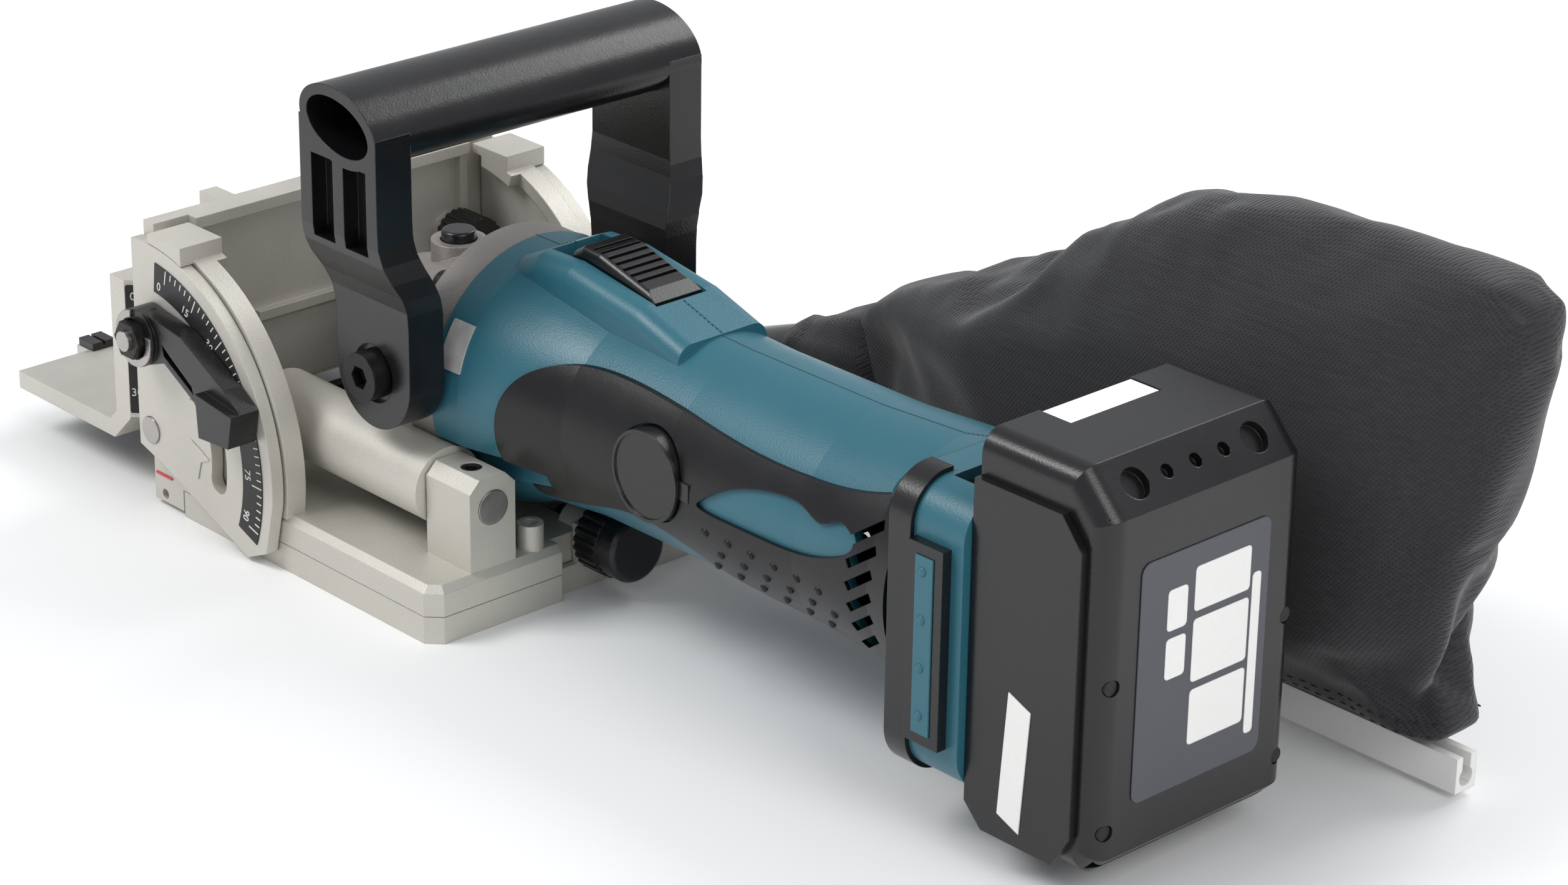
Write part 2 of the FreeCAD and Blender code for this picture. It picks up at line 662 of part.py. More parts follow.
def gear_housing():
    head = rod_along_z(spindle_x, 0, head_radius, head_bottom, head_top)
    head = head.makeFillet(5, [e for e in head.Edges if e.CenterOfMass.z > head_top - 0.1])
    cone = Part.makeCone(17, 31, ring_front - 46, V(46, 0, axis_z), X_AXIS)
    shoulder = Part.makeCone(30, ring_radius, 6, V(ring_front - 6, 0, axis_z), X_AXIS)
    ring = rod_x(0, axis_z, ring_radius, ring_front, ring_rear)
    keel = block((spindle_x, ring_front), (-24, 24), (head_bottom, axis_z - 10))
    boss = rod_along_z(spindle_x, 0, 17.4, head_bottom - 1.6, head_bottom)
    lock_boss = rod_along_z(66, 0, 8, axis_z, 86)
    ahead = block((60, ring_rear), (-60, 60), (0, 120))
    feet = [rod_along_y(foot_x, foot_z, 12, *side_span(side, 20, leg_inner_foot)).common(ahead)
            for name, side in SIDES]
    body = head.fuse([cone, shoulder, ring, keel, boss, lock_boss] + feet)
    cavity = Part.makeCone(13, 27, ring_front - 1 - 50, V(50, 0, axis_z), X_AXIS)
    cuts = [cavity, rod_along_z(spindle_x, 0, head_radius - 3.5, 29, head_top - 8)]
    cuts.append(rod_along_z(spindle_x, 0, bearing_radius + running_fit, 19.5, 30))
    cuts.append(rod_along_z(spindle_x, 0, 7, 10, 25))
    cuts.append(rod_along_z(spindle_x, 0, 8 + running_fit, 50, head_top - 3))
    cuts.append(rod_x(0, axis_z, 13 + running_fit, ring_front + 1.5, ring_rear + 1))
    cuts.append(rod_x(0, axis_z, 8, ring_front - 3, ring_front + 3))
    cuts.append(rod_along_z(66, 0, 5.3, 82, 90))
    cuts.append(rod_along_z(66, 0, 2.5 + running_fit, axis_z + 10, 84))
    cuts += sleeve_cylinders(sleeve_radius + 0.05, 20, 120)
    for y, z in flange_screw_places():
        cuts.append(rod_x(y, z, 4.6, 60, ring_front - 1))
        cuts.append(rod_x(y, z, 2.1, ring_front - 2, ring_rear + 1))
    for name, side in SIDES:
        cuts.append(rod_along_y(foot_x, foot_z, handle_bolt_radius + running_fit, *side_span(side, 26, 45)))
    return body.cut(cuts).removeSplitter()


def flange_screw_places():
    reach = ring_radius - 6.5
    return [(reach * math.cos(math.radians(a)), axis_z + reach * math.sin(math.radians(a)))
            for a in (50, 130, 235, 305)]


def carriage_sleeve(side):
    """Painted tube that rides on a rod, with a web to the gear housing."""
    rear = post_rear - post_length - 0.5
    tube = rod_x(side * rod_y, rod_z, sleeve_radius, sleeve_front, rear)
    tube = tube.makeFillet(1.2, [e for e in tube.Edges if e.CenterOfMass.x < sleeve_front + 0.1])
    low, high = side_span(side, 24.0, rod_y - 7)
    web = block((56, 82), (low, high), (rod_z - 6, rod_z + 2))
    body = tube.fuse(web)
    room = rod_x(side * rod_y, rod_z, sleeve_bore, sleeve_front - 1, sleeve_front + 4 + spring_room)
    bore = rod_x(side * rod_y, rod_z, sleeve_bore, rear - bush_length, rear + 1)
    passage = rod_x(side * rod_y, rod_z, rod_radius + 0.5, sleeve_front, rear)
    return body.cut([room, bore, passage])


def rod_bush(side):
    rear = post_rear - post_length - 0.5
    bush = rod_x(side * rod_y, rod_z, sleeve_bore, rear - bush_length, rear)
    return bush.cut(rod_x(side * rod_y, rod_z, rod_radius + running_fit, rear - bush_length - 1, rear + 1))


def return_spring(side):
    start = sleeve_front + 3.4 + 0.75
    length = spring_room + 0.6 - 1.5 - 0.1
    return coil(start, side * rod_y, rod_z, rod_radius + 1.3, 0.65, length, 9, X_AXIS)


def handle_bolt(side):
    head = rod_along_y(foot_x, foot_z, 7, *side_span(side, leg_outer_foot - 1.5, leg_outer_foot + 5))
    socket = hexagon_y(foot_x, foot_z, 6, *side_span(side, leg_outer_foot + 1.5, leg_outer_foot + 6))
    shank = rod_along_y(foot_x, foot_z, handle_bolt_radius, *side_span(side, 28, leg_outer_foot - 1.5))
    return head.cut(socket).fuse(shank)


def make_carriage():
    pieces["gear_housing"] = gear_housing()
    pieces["carriage_sleeves"] = pair(carriage_sleeve)
    pieces["rod_bushes"] = pair(rod_bush)
    pieces["return_springs"] = pair(return_spring)
    pieces["handle_bolts"] = pair(handle_bolt)
    screws = []
    for y, z in flange_screw_places():
        head = rod_x(y, z, 4, ring_front - 5, ring_front - 1)
        socket = hexagon_x(y, z, 3, ring_front - 6, ring_front - 3)
        screws.append(head.cut(socket).fuse(rod_x(y, z, 2, ring_front - 1, ring_rear)))
    pieces["flange_screws"] = Part.makeCompound(screws)


def make_handle():
    """D handle: hollow oval bar across the tool on two offset legs."""
    legs = []
    for name, side in SIDES:
        outer_edge = [(leg_outer_top, bar_z), (leg_outer_top, 107), (57.3, 102), (55.7, 97.5), (53.6, 93.5),
                      (52.3, 89), (leg_outer_foot, 84), (leg_outer_foot, foot_z - 17)]
        inner_edge = [(leg_inner_foot, foot_z - 17), (leg_inner_foot, 86), (40.5, 90.5), (41.9, 95),
                      (43.9, 99.5),
                      (45.4, 104), (leg_outer_top - 12, 109), (leg_outer_top - 12, bar_z)]
        outline = outer_edge + inner_edge
        across = prism_x([(side * y, z) for y, z in outline], 60, 120)
        front = foot_x - foot_radius
        rear = foot_x + foot_radius
        front_edge = [(bar_x - 17, bar_z), (bar_x - 17, 104), (71.2, 99), (73, 94.5), (75.3, 90), (76.7, 85.5),
                      (front, 81), (front, foot_z)]
        rear_edge = [(rear, foot_z), (rear, 88), (108.6, 92.5), (107.3, 97.5), (105.5, 102.5), (104.3, 107.5),
                     (bar_x + 16.5, 113), (bar_x + 16.5, bar_z)]
        shape = prism_y(front_edge + rear_edge, -bar_half_length, bar_half_length)
        shape = shape.fuse(rod_along_y(foot_x, foot_z, foot_radius, -bar_half_length, bar_half_length))
        leg = across.common(shape)
        cuts = []
        for low, high in ((bar_x - 12, bar_x - 2.5), (bar_x + 2, bar_x + 12)):
            cuts.append(block((low, high), side_span(side, leg_outer_top - 5, leg_outer_top + 1), (104, 128)))
        low, high = side_span(side, leg_outer_foot - 1.5, leg_outer_foot + 9)
        cuts.append(rod_along_y(foot_x, foot_z, 8.5, low, high))
        cuts.append(rod_along_y(foot_x, foot_z, handle_bolt_radius + running_fit, *side_span(side, 30, 60)))
        legs.append(leg.cut(cuts))
    outer = oval_bar(bar_major, bar_minor, bar_half_length)
    inner = oval_bar(bar_major - bar_wall, bar_minor - bar_wall, bar_half_length + 2)
    pieces["handle"] = outer.fuse(legs).cut(inner).removeSplitter()


def oval_bar(major, minor, half_length):
    circle = Part.Wire(Part.makeCircle(1, V(0, 0, 0), Y_AXIS))
    matrix = FreeCAD.Matrix()
    matrix.scale(V(major, 1, minor))
    matrix.rotateY(math.radians(bar_tilt))
    matrix.move(V(bar_x, -half_length, bar_z))
    return Part.Face(circle.transformGeometry(matrix)).extrude(V(0, 2 * half_length, 0))


# ---- motor housing ---------------------------------------------------------------
def post_relief(grow):
    """Steps under the housing that clear the sleeves and posts."""
    cuts = []
    for name, side in SIDES:
        low, high = side_span(side, rod_y - sleeve_radius - gap - 0.1 - grow, 50)
        cuts.append(block((90, 142 + grow), (low, high), (0, rod_z + sleeve_radius + gap + grow)))
    return cuts


def switch_bump():
    outline = [(104, 90), (110, 96.5), (118, 100), (132, 100.5), (160, 96.5), (178, 91), (178, 80), (104, 80)]
    bump = prism_y(outline, -16, 16)
    edges = [e for e in bump.Edges if abs(abs(e.CenterOfMass.y) - 16) < 0.1 and e.CenterOfMass.z > 91]
    return bump.makeFillet(5, edges)


def tail_block():
    body = block((tail_front, tail_rear), (-tail_half_width, tail_half_width), (tail_bottom, tail_top))
    return body.makeFillet(11, [e for e in body.Edges if abs(e.Length - (tail_rear - tail_front)) < 0.01])


def stop_lug():
    """Arm on the right half that carries the depth stop's adjusting screw."""
    z = turret_z - step_radius
    lug = block((stop_lug_x, stop_lug_x + 8), (20, turret_y + 5), (42, 58))
    return lug.cut([rod_x(turret_y, z, 2 + running_fit, stop_lug_x - 1, stop_lug_x + 9), housing_body(-1)])


def housing_shell():
    outer = housing_body(0).cut(post_relief(0)).fuse([switch_bump(), tail_block()])
    inner = housing_body(-housing_wall).cut(post_relief(housing_wall))
    rib = rod_x(0, axis_z, 27.5, 199, 208)
    inner = inner.cut(rib)
    tail_room = block((282, tail_rear - 18), (-30, 30), (30, tail_top - 8))
    cuts = [inner, tail_room, block((tail_rear - 19, tail_rear - 14), (-16, 16), (60, 88))]
    cuts.append(rod_x(0, axis_z, 9.5 + running_fit, 200, 207))
    cuts.append(rod_x(0, axis_z, 6, 198, 209))
    cuts.append(block((130, 215), (-3.4, 3.4), (82, 87.2)))
    cuts.append(block((117.5, 161.5), (-9, 9), (92.5, 110)))
    cuts.append(block((128, 152), (-3.4, 3.4), (84, 93)))
    cuts += battery_recess()
    cuts += vent_slots()
    for x, z in screw_places():
        reach = half_width_at(x, z)
        cuts.append(rod_along_y(x, z, 3.6, reach - 4, reach + 9))
    return outer, cuts


def battery_recess():
    front = tail_rear - 15
    wide = block((front, tail_rear - 4), (-29, 29), (24, tail_top + 5))
    narrow = block((tail_rear - 5, tail_rear + 1), (-26, 26), (24, tail_top + 5))
    return [wide, narrow]


def vent_slots():
    slots = []
    for name, side in SIDES:
        for k in range(6):
            z = 42 + 6.2 * k
            slot = block((261, 273), side_span(side, 20, 45), (z - 1.2, z + 1.2))
            slot.rotate(V(267, 0, z), Y_AXIS, -35)
            slots.append(slot)
    return slots


def screw_places():
    return ((214, 36), (246, 36), (276, 84), (120, 88))


def make_housing():
    outer, cuts = housing_shell()
    for name, side in SIDES:
        half = block((90, 320), side_span(side, 0, 60), (0, 130))
        body = outer.common(half)
        if side > 0:
            body = body.fuse(stop_lug())
        solid = body.cut(cuts)
        solid = sorted(solid.Solids, key=lambda s: -s.Volume)[0]
        pieces["motor_housing_" + name] = solid
    screws = []
    for x, z in screw_places():
        reach = half_width_at(x, z)
        head = rod_along_y(x, z, 3.4, reach - 4, reach - 1.2)
        screws.append(head)
    pieces["housing_screws"] = Part.makeCompound(screws)
    skin = housing_body(skin_thickness).cut(housing_body(0))
    pieces["side_panels"] = Part.makeCompound([side_panel(skin, side) for name, side in SIDES])
    pieces["brush_caps"] = pair(brush_cap)
    pieces["lamp_window"] = lamp_window()
    pieces["tail_frame"] = Part.makeCompound([tail_collar(), bumper(-1), bumper(1)])
    pieces["bumper_inlays"] = pair(bumper_inlay)


def tail_collar():
    """Flared frame between the slim body and the battery seat."""
    wide = tail_half_width + collar_step
    ring = block((collar_front, collar_rear), (-wide, wide),
                 (tail_bottom - collar_step, tail_top + collar_step))
    ring = ring.makeFillet(11 + collar_step, [e for e in ring.Edges
                                              if abs(e.Length - (collar_rear - collar_front)) < 0.01])
    front = [e for e in ring.Edges if abs(e.CenterOfMass.x - collar_front) < 0.01]
    ring = ring.makeChamfer(collar_flare, front)
    ring = ring.cut([housing_body(0), tail_block()])
    ring = ring.cut(block((collar_front - 1, collar_rear + 1), (-27, 27), (tail_top - 1, tail_top + 9)))
    return sorted(ring.Solids, key=lambda s: -s.Volume)[0]


def bumper(side):
    body = block((collar_rear + 1, tail_rear - 4),
                 side_span(side, tail_half_width, tail_half_width + 3), (30, 84))
    return body.cut(bumper_inlay(side))


def bumper_inlay(side):
    low, high = side_span(side, tail_half_width + 2, tail_half_width + 3.4)
    return block((collar_rear + 4, tail_rear - 7), (low, high), (33, 81))


def panel_outline():
    return [(collar_front - 0.5, 86), (262, 80.5), (240, 77.5), (200, 78.5), (165, 81), (145, 79), (134, 74),
            (128, 66), (126, 55), (126.8, 46), (131, 39.5), (142, 38), (158, 42), (175, 46), (195, 43),
            (210, 38), (235, 36), (262, 36.5), (collar_front - 0.5, 38)]


def crescent_outline():
    return [(204, 60), (214, 66.5), (233, 71.5), (243, 71), (250, 69.5), (257, 72), (263, 69), (254, 62),
            (230, 58), (214, 57.8)]


def side_panel(skin, side):
    low, high = side_span(side, 10, 60)
    body = skin.common(smooth_prism_y(panel_outline(), low, high, False))
    cuts = [smooth_prism_y(crescent_outline(), low, high, True)]
    cuts.append(rod_along_y(commutator_x, 61, 13.4, low, high))
    cuts += post_relief(0)
    cuts += vent_slots()
    if side > 0:
        cuts += [rod_along_y(x, z, 3.8, low, high) for x, z in screw_places()]
        cuts.append(block((stop_lug_x - 0.2, stop_lug_x + 8.2), (low, high), (41.8, 58.2)))
    return sorted(body.cut(cuts).Solids, key=lambda s: -s.Volume)[0]


def brush_cap(side):
    low, high = side_span(side, 20, half_width_at(commutator_x, 61) + 2)
    cap = rod_along_y(commutator_x, 61, 12.9, low, high)
    return cap.cut(housing_body(0.02))


def lamp_window():
    skin = housing_body(0.5).cut(housing_body(0))
    return skin.common(block((103.5, 112), (-60, -20), (68.5, 81))).Solids[0]


# ---- rotating parts -------------------------------------------------------------
def toothed_cone(teeth, small, large, height):
    """Bevel gear along Z: a cone with straight ribs for teeth."""
    body = Part.makeCone(large * 0.93, small * 0.93, height)
    ribs = []
    for k in range(teeth):
        width = 0.32 * 2 * math.pi * small / teeth
        rib = Part.makeBox(large, width, height, V(0, -width / 2, 0))
        rib.rotate(V(0, 0, 0), Z_AXIS, 360.0 * k / teeth)
        ribs.append(rib)
    tips = Part.makeCone(large, small, height)
    return body.fuse([rib.common(tips) for rib in ribs])


def saw_blade():
    low = blade_height - blade_thickness / 2
    body = rod_along_z(spindle_x, 0, blade_radius - 3, low + 0.6, low + blade_thickness - 0.6)
    gullets = []
    tips = []
    teeth = 6
    for k in range(teeth):
        turn = 360.0 * k / teeth
        edge = spindle_x + blade_radius
        gullet = block((edge - 12, edge), (1.5, 12), (low - 1, low + 6))
        gullet.rotate(V(spindle_x, 0, 0), Z_AXIS, turn)
        gullets.append(gullet)
        tip = block((edge - 9, edge), (-2, 1.5), (low, low + blade_thickness))
        tip.rotate(V(spindle_x, 0, 0), Z_AXIS, turn)
        tips.append(tip)
    limit = rod_along_z(spindle_x, 0, blade_radius, low, low + blade_thickness)
    bore = rod_along_z(spindle_x, 0, 8, low - 1, low + 6)
    return body.cut(gullets).fuse([tip.common(limit) for tip in tips]).cut(bore)


def make_blade_shaft():
    low = blade_height - blade_thickness / 2
    high = blade_height + blade_thickness / 2
    pieces["blade"] = saw_blade()
    flange = rod_along_z(spindle_x, 0, 14, high - 0.6, high + 2.6)
    flange = flange.fuse(rod_along_z(spindle_x, 0, 7.95, low + 0.7, high))
    nut = rod_along_z(spindle_x, 0, 14, low - 3.4, low + 0.6)
    for angle in (0, 180):
        hole = rod_along_z(spindle_x + 10, 0, 1.6, low - 4, low - 1)
        hole.rotate(V(spindle_x, 0, 0), Z_AXIS, angle)
        nut = nut.cut(hole)
    pieces["lock_nut"] = nut.cut(rod_along_z(spindle_x, 0, 5, 0, 30))
    pieces["spindle"] = rod_along_z(spindle_x, 0, 5, low - 3.0, head_top - 4.5).fuse(flange)
    gear = toothed_cone(gear_teeth, mesh_inner, mesh_outer, (mesh_outer - mesh_inner) * mesh_ratio)
    gear_top = axis_z - mesh_inner * mesh_ratio - mesh_gap
    gear_rim = axis_z - mesh_outer * mesh_ratio - mesh_gap
    gear.translate(V(spindle_x, 0, gear_rim))
    web = rod_along_z(spindle_x, 0, mesh_outer * 0.93, gear_rim - 5, gear_rim)
    hub = rod_along_z(spindle_x, 0, 9, gear_rim - 11, gear_rim)
    pieces["bevel_gear"] = gear.fuse([web, hub]).cut(rod_along_z(spindle_x, 0, 5, 30, gear_top + 5))


def bearing_z(x, y, outer, inner, low, high):
    return rod_along_z(x, y, outer, low, high).cut(rod_along_z(x, y, inner + running_fit, low - 1, high + 1))


def make_bearings():
    lower = bearing_z(spindle_x, 0, bearing_radius, 5, 20, 28)
    upper = bearing_z(spindle_x, 0, 8, 5, head_top - 7.8, head_top - 3.4)
    pieces["spindle_bearings"] = Part.makeCompound([lower, upper])
    front = rod_x(0, axis_z, 13, ring_front + 2, ring_rear - 1)
    rear = rod_x(0, axis_z, 9.5, 200.5, 206.5)
    bore = rod_x(0, axis_z, shaft_radius + running_fit, 80, 210)
    pieces["motor_bearings"] = Part.makeCompound([front.cut(bore), rear.cut(bore)])


def make_armature():
    shaft = rod_x(0, axis_z, shaft_radius, 68.5, 206)
    pinion = toothed_cone(pinion_gear_teeth, mesh_inner * mesh_ratio - mesh_gap / 2,
                          mesh_outer * mesh_ratio - mesh_gap / 2, mesh_outer - mesh_inner)
    pinion.rotate(V(0, 0, 0), Y_AXIS, 90)
    pinion.rotate(V(0, 0, 0), Z_AXIS, 180)
    pinion.translate(V(spindle_x + mesh_outer, 0, axis_z))
    hub = rod_x(0, axis_z, shaft_radius + 1.6, spindle_x + mesh_outer, spindle_x + mesh_outer + 6)
    pieces["pinion_gear"] = pinion.fuse(hub).cut(rod_x(0, axis_z, shaft_radius, 68.5, 90))
    bore = rod_x(0, axis_z, shaft_radius, 90, 210)
    hub = rod_x(0, axis_z, 9, ring_rear + 2, ring_rear + 9)
    blades = []
    for k in range(16):
        fin = block((ring_rear + 3, ring_rear + 9), (0, 25), (axis_z - 0.6, axis_z + 0.6))
        fin.rotate(V(0, 0, axis_z), X_AXIS, 22.5 * k)
        blades.append(fin)
    disc = rod_x(0, axis_z, 25.5, ring_rear + 2, ring_rear + 3)
    pieces["fan"] = hub.fuse([disc] + blades).cut(bore)
    core = rod_x(0, axis_z, core_radius, 117, 166)
    slots = []
    for k in range(14):
        slot = block((116, 167), (core_radius - 6, core_radius + 1), (axis_z - 1.1, axis_z + 1.1))
        slot.rotate(V(0, 0, axis_z), X_AXIS, 360.0 * k / 14)
        slots.append(slot)
    commutator = rod_x(0, axis_z, commutator_radius, commutator_x - 8, commutator_x + 8)
    pieces["armature"] = core.cut(slots).fuse([shaft, commutator])


def brush_holder(side):
    span = (commutator_x - 5, commutator_x + 5)
    holder = block(span, side_span(side, commutator_radius + 2, 26), (axis_z - 5, axis_z + 5))
    room = block((commutator_x - 3.6, commutator_x + 3.6), side_span(side, commutator_radius, 27),
                 (axis_z - 3.6, axis_z + 3.6))
    return holder.cut(room)


def carbon_brush(side):
    brush = block((commutator_x - 3.5, commutator_x + 3.5), side_span(side, commutator_radius - 1, 22),
                  (axis_z - 3.5, axis_z + 3.5))
    return brush.cut(rod_x(0, axis_z, commutator_radius + 0.2, 170, 200))


def make_motor():
    tube = rod_x(0, axis_z, yoke_radius, yoke_front, yoke_rear)
    tube = tube.cut(rod_x(0, axis_z, yoke_radius - yoke_wall, yoke_front - 1, yoke_rear + 1))
    arc = rod_x(0, axis_z, yoke_radius - yoke_wall, yoke_front + 4, yoke_rear - 10)
    arc = arc.cut(rod_x(0, axis_z, core_radius + 0.6, yoke_front, yoke_rear))
    magnets = []
    for name, side in SIDES:
        magnets.append(arc.common(block((100, 200), side_span(side, 9, 40), (20, 100))))
    pieces["motor_yoke"] = Part.makeCompound([tube] + magnets)
    pieces["brush_holders"] = pair(brush_holder)
    pieces["brushes"] = pair(carbon_brush)


# ---- controls --------------------------------------------------------------------
def make_switch():
    outline = [(126, 93), (126, 101.5), (130, 104), (137, 103.6), (156, 98.6), (160, 96.2), (160, 93)]
    body = prism_y(outline, -8.4, 8.4)
    body = body.makeFillet(2, [e for e in body.Edges if abs(abs(e.CenterOfMass.y) - 8.4) < 0.1
                               and e.CenterOfMass.z > 97.5])
    grooves = []
    for k in range(7):
        x = 133 + 3.0 * k
        grooves.append(block((x, x + 1.2), (-7, 7), (103.4 - 0.25 * (x - 133) - 0.9, 106)))
    stem = block((139, 149), (-3, 3), (86.7, 93.2))
    link = block((139, 208), (-3, 3), (84.3, 86.7))
    pieces["slide_switch"] = body.cut(grooves).fuse([stem, link])
    pieces["switch_unit"] = block((212, 240), (-9, 9), (56, 81))


def make_lock_button():
    head = rod_along_z(66, 0, 5, 84.7, 89)
    pieces["lock_button"] = head.makeFillet(1, [e for e in head.Edges if e.CenterOfMass.z > 88.9]).fuse(
        rod_along_z(66, 0, 2.5, 74, 84.7))


def make_depth_stop():
    """Six-step turret on the base and the adjusting screw on the motor housing."""
    body = rod_x(turret_y, turret_z, turret_radius, turret_front, turret_rear)
    pads = []
    for k, height in enumerate(step_heights):
        if height > 0:
            turn = math.radians(-90 + 60 * k)
            y = turret_y + step_radius * math.cos(turn)
            z = turret_z + step_radius * math.sin(turn)
            pads.append(rod_x(y, z, 2.4, turret_rear - 1, turret_rear + height))
    body = body.fuse(pads)
    pieces["depth_turret"] = body.cut(rod_x(turret_y, turret_z, 3 + running_fit, 100, turret_rear - 5.5))
    tip = turret_rear + plunge_travel + 0.3
    y, z = turret_y, turret_z - step_radius
    nut = hexagon_x(y, z, 7, stop_lug_x - 3.2, stop_lug_x - 0.1)
    screw = rod_x(y, z, 2, tip, stop_lug_x + 11)
    pieces["stop_screw"] = Part.makeCompound([screw, nut.cut(rod_x(y, z, 2, 150, 170))])


# ---- battery ------------------------------------------------------------------
def battery_panel(side):
    outline = [(battery_front, 17), (battery_front + 6, 11), (battery_rear - 12, 11), (battery_rear - 6.2, 20),
               (battery_rear - 6.2, 96), (battery_rear - 13, 104), (battery_front, 104)]
    return prism_y(outline, *side_span(side, battery_half_width, battery_half_width + panel_thickness))


def make_battery():
    outline = [(battery_front, battery_bottom), (battery_rear - 5, battery_bottom),
               (battery_rear, battery_bottom + 5), (battery_rear, battery_top - 11),
               (battery_rear - 10.5, battery_top), (battery_front, battery_top)]
    body = prism_y(outline, -battery_half_width, battery_half_width)
    edges = [e for e in body.Edges if abs(abs(e.CenterOfMass.y) - battery_half_width) < 0.1
             and e.CenterOfMass.x > battery_front + 1]
    body = body.makeFillet(6, edges)
    neck = block((tail_rear - 4.6, battery_front + 1), (-25.7, 25.7), (24.5, 94))
    foot = block((tail_rear - 14.6, tail_rear - 4.4), (-28.7, 28.7), (24.5, 94))
    body = body.fuse([neck, foot])
    cuts = [block((battery_front + 2.4, battery_rear - 2), (-33, 33), (battery_bottom + 2, battery_top - 10.5))]
    cuts.append(block((battery_front - 1, 320), (-16, 16), (battery_top - 9.5, battery_top + 1)))
    for y in (-8, 8):
        cuts.append(block((290, tail_rear - 6.5), (y - 1.2, y + 1.2), (20, 91)))
    slope = V(-10.5, 0, 11).normalize()
    normal = V(slope.z, 0, -slope.x)
    for y, radius in ((-21, 4.2), (21, 4.2), (-10, 1.9), (0, 1.9), (10, 1.9)):
        start = V(battery_rear - 5.2, y, battery_top - 5.5) - normal * 2.5
        cuts.append(Part.makeCylinder(radius, 9, start, normal))
    for y in (-31, 31):
        for z in (22, 61):
            cuts.append(rod_x(y, z, 2.2, battery_rear - 1.9, battery_rear + 1))
    pieces["battery_case"] = body.cut(cuts).removeSplitter()
    cells = []
    for column in range(2):
        for row in range(5):
            x = battery_front + 2.6 + cell_radius + 0.3 + column * cell_pitch
            z = battery_bottom + 2.2 + cell_radius + row * cell_pitch
            cells.append(rod_along_y(x, z, cell_radius, -cell_length / 2, cell_length / 2))
    pieces["battery_cells"] = Part.makeCompound(cells)
    pieces["battery_panels"] = pair(battery_panel)
    screws = []
    for y in (-31, 31):
        for z in (22, 61):
            screws.append(rod_x(y, z, 2.1, battery_rear - 1.8, battery_rear - 0.6))
    pieces["battery_screws"] = Part.makeCompound(screws)
    pieces["release_button"] = block((battery_front + 0.6, 319.5), (-15.6, 15.6),
                                     (battery_top - 6.6, battery_top - 0.3))


def make_terminals():
    body = block((tail_rear - 18, tail_rear - 15), (-16, 16), (60, 88))
    blades = [block((tail_rear - 15, tail_rear - 8), (y - 0.5, y + 0.5), (74, 88)) for y in (-8, 8)]
    pieces["terminal_block"] = body.fuse(blades)


# ---- dust bag -----------------------------------------------------------------
def make_dust():
    y_end = bag_y
    direction = V(math.cos(math.radians(nozzle_rise)), 0, math.sin(math.radians(nozzle_rise)))
    centre = V(port_x, y_end, port_z)

    def elbow(radius, spigot, spigot_start, extra):
        across = rod_along_y(port_x, port_z, radius, base_half_width + 0.4 - extra, y_end)
        along = Part.makeCylinder(radius, nozzle_length + extra, centre, direction)
        ball = Part.makeSphere(radius, centre)
        inlet = rod_along_y(port_x, port_z, spigot, spigot_start - extra, base_half_width + 2)
        return across.fuse([along, ball, inlet])

    outer = elbow(nozzle_radius, port_bore - 0.06, 54, 0)
    inner = elbow(nozzle_radius - nozzle_wall, port_bore - nozzle_wall, 54, 1)
    inner = inner.cut(rod_along_y(port_x, port_z, 60, 50, base_half_width + 0.4 + nozzle_wall).cut(
        rod_along_y(port_x, port_z, port_bore - nozzle_wall, 49, base_half_width + 8)))
    pieces["dust_nozzle"] = outer.cut(inner)
    pieces["dust_bag"] = dust_bag(centre, direction)
    outer_rail = block((closing_rail_front, closing_rail_rear), (bag_y - 4, bag_y + 4), (2, 12))
    slot = block((closing_rail_front - 1, closing_rail_rear + 1), (bag_y - 1.6, bag_y + 1.6), (3.8, 13))
    bulb = rod_x(bag_y, 6, 2.6, closing_rail_front - 1, closing_rail_rear + 1)
    pieces["closing_rail"] = outer_rail.cut([slot, bulb])


def dust_bag(centre, direction):
    """Filled bag: an outline that bulges at mid thickness, with a hem along its foot."""
    mouth = centre + direction * (nozzle_length + 0.4)
    up = V(-direction.z, 0, direction.x)
    low, high = mouth - up * 15, mouth + up * 15
    outline = [(high.x, high.z), (224, 118), (268, 145), (300, 150), (366, 151), (381, 142), (384, 128),
               (373, 30), (368, 14), (196, 14), (low.x + 4, low.z)]
    middle = V(280, 0, 78)
    wires = []
    for share, shrink in ((-0.5, 0.80), (-0.36, 0.94), (-0.15, 1.0), (0.15, 1.0), (0.36, 0.94), (0.5, 0.80)):
        y = bag_y + share * bag_thickness
        corners = [V(middle.x + shrink * (x - middle.x), y, middle.z + shrink * (z - middle.z))
                   for x, z in outline]
        wires.append(Part.makePolygon(corners + corners[:1]))
    body = Part.makeLoft(wires, True, True)
    hem = block((closing_rail_front + 2, closing_rail_rear - 3), (bag_y - 1.3, bag_y + 1.3), (6, 16))
    bead = rod_x(bag_y, 6, 2.3, closing_rail_front + 2, closing_rail_rear - 3)
    return body.fuse([hem, bead])


def main():
    os.makedirs("parts", exist_ok=True)
    make_base()
    make_cover()
    make_guide()
    make_angle_lever()
    make_fence()
    make_dial()
    make_fence_lever()
    make_carriage()
    make_handle()
    make_housing()
    make_blade_shaft()
    make_bearings()
    make_armature()
    make_motor()
    make_switch()
    make_lock_button()
    make_depth_stop()
    make_battery()
    make_terminals()
    make_dust()
    for name, shape in pieces.items():
        shape.translate(V(-spindle_x, 0, 0))
        shape.exportStep("parts/" + name + ".step")
        print(name, len(shape.Solids), shape.isValid(), round(shape.Volume))


main()
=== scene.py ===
"""Looks of a cordless biscuit joiner, laid out as an add-on and run as a script. Metres."""
import json
import math

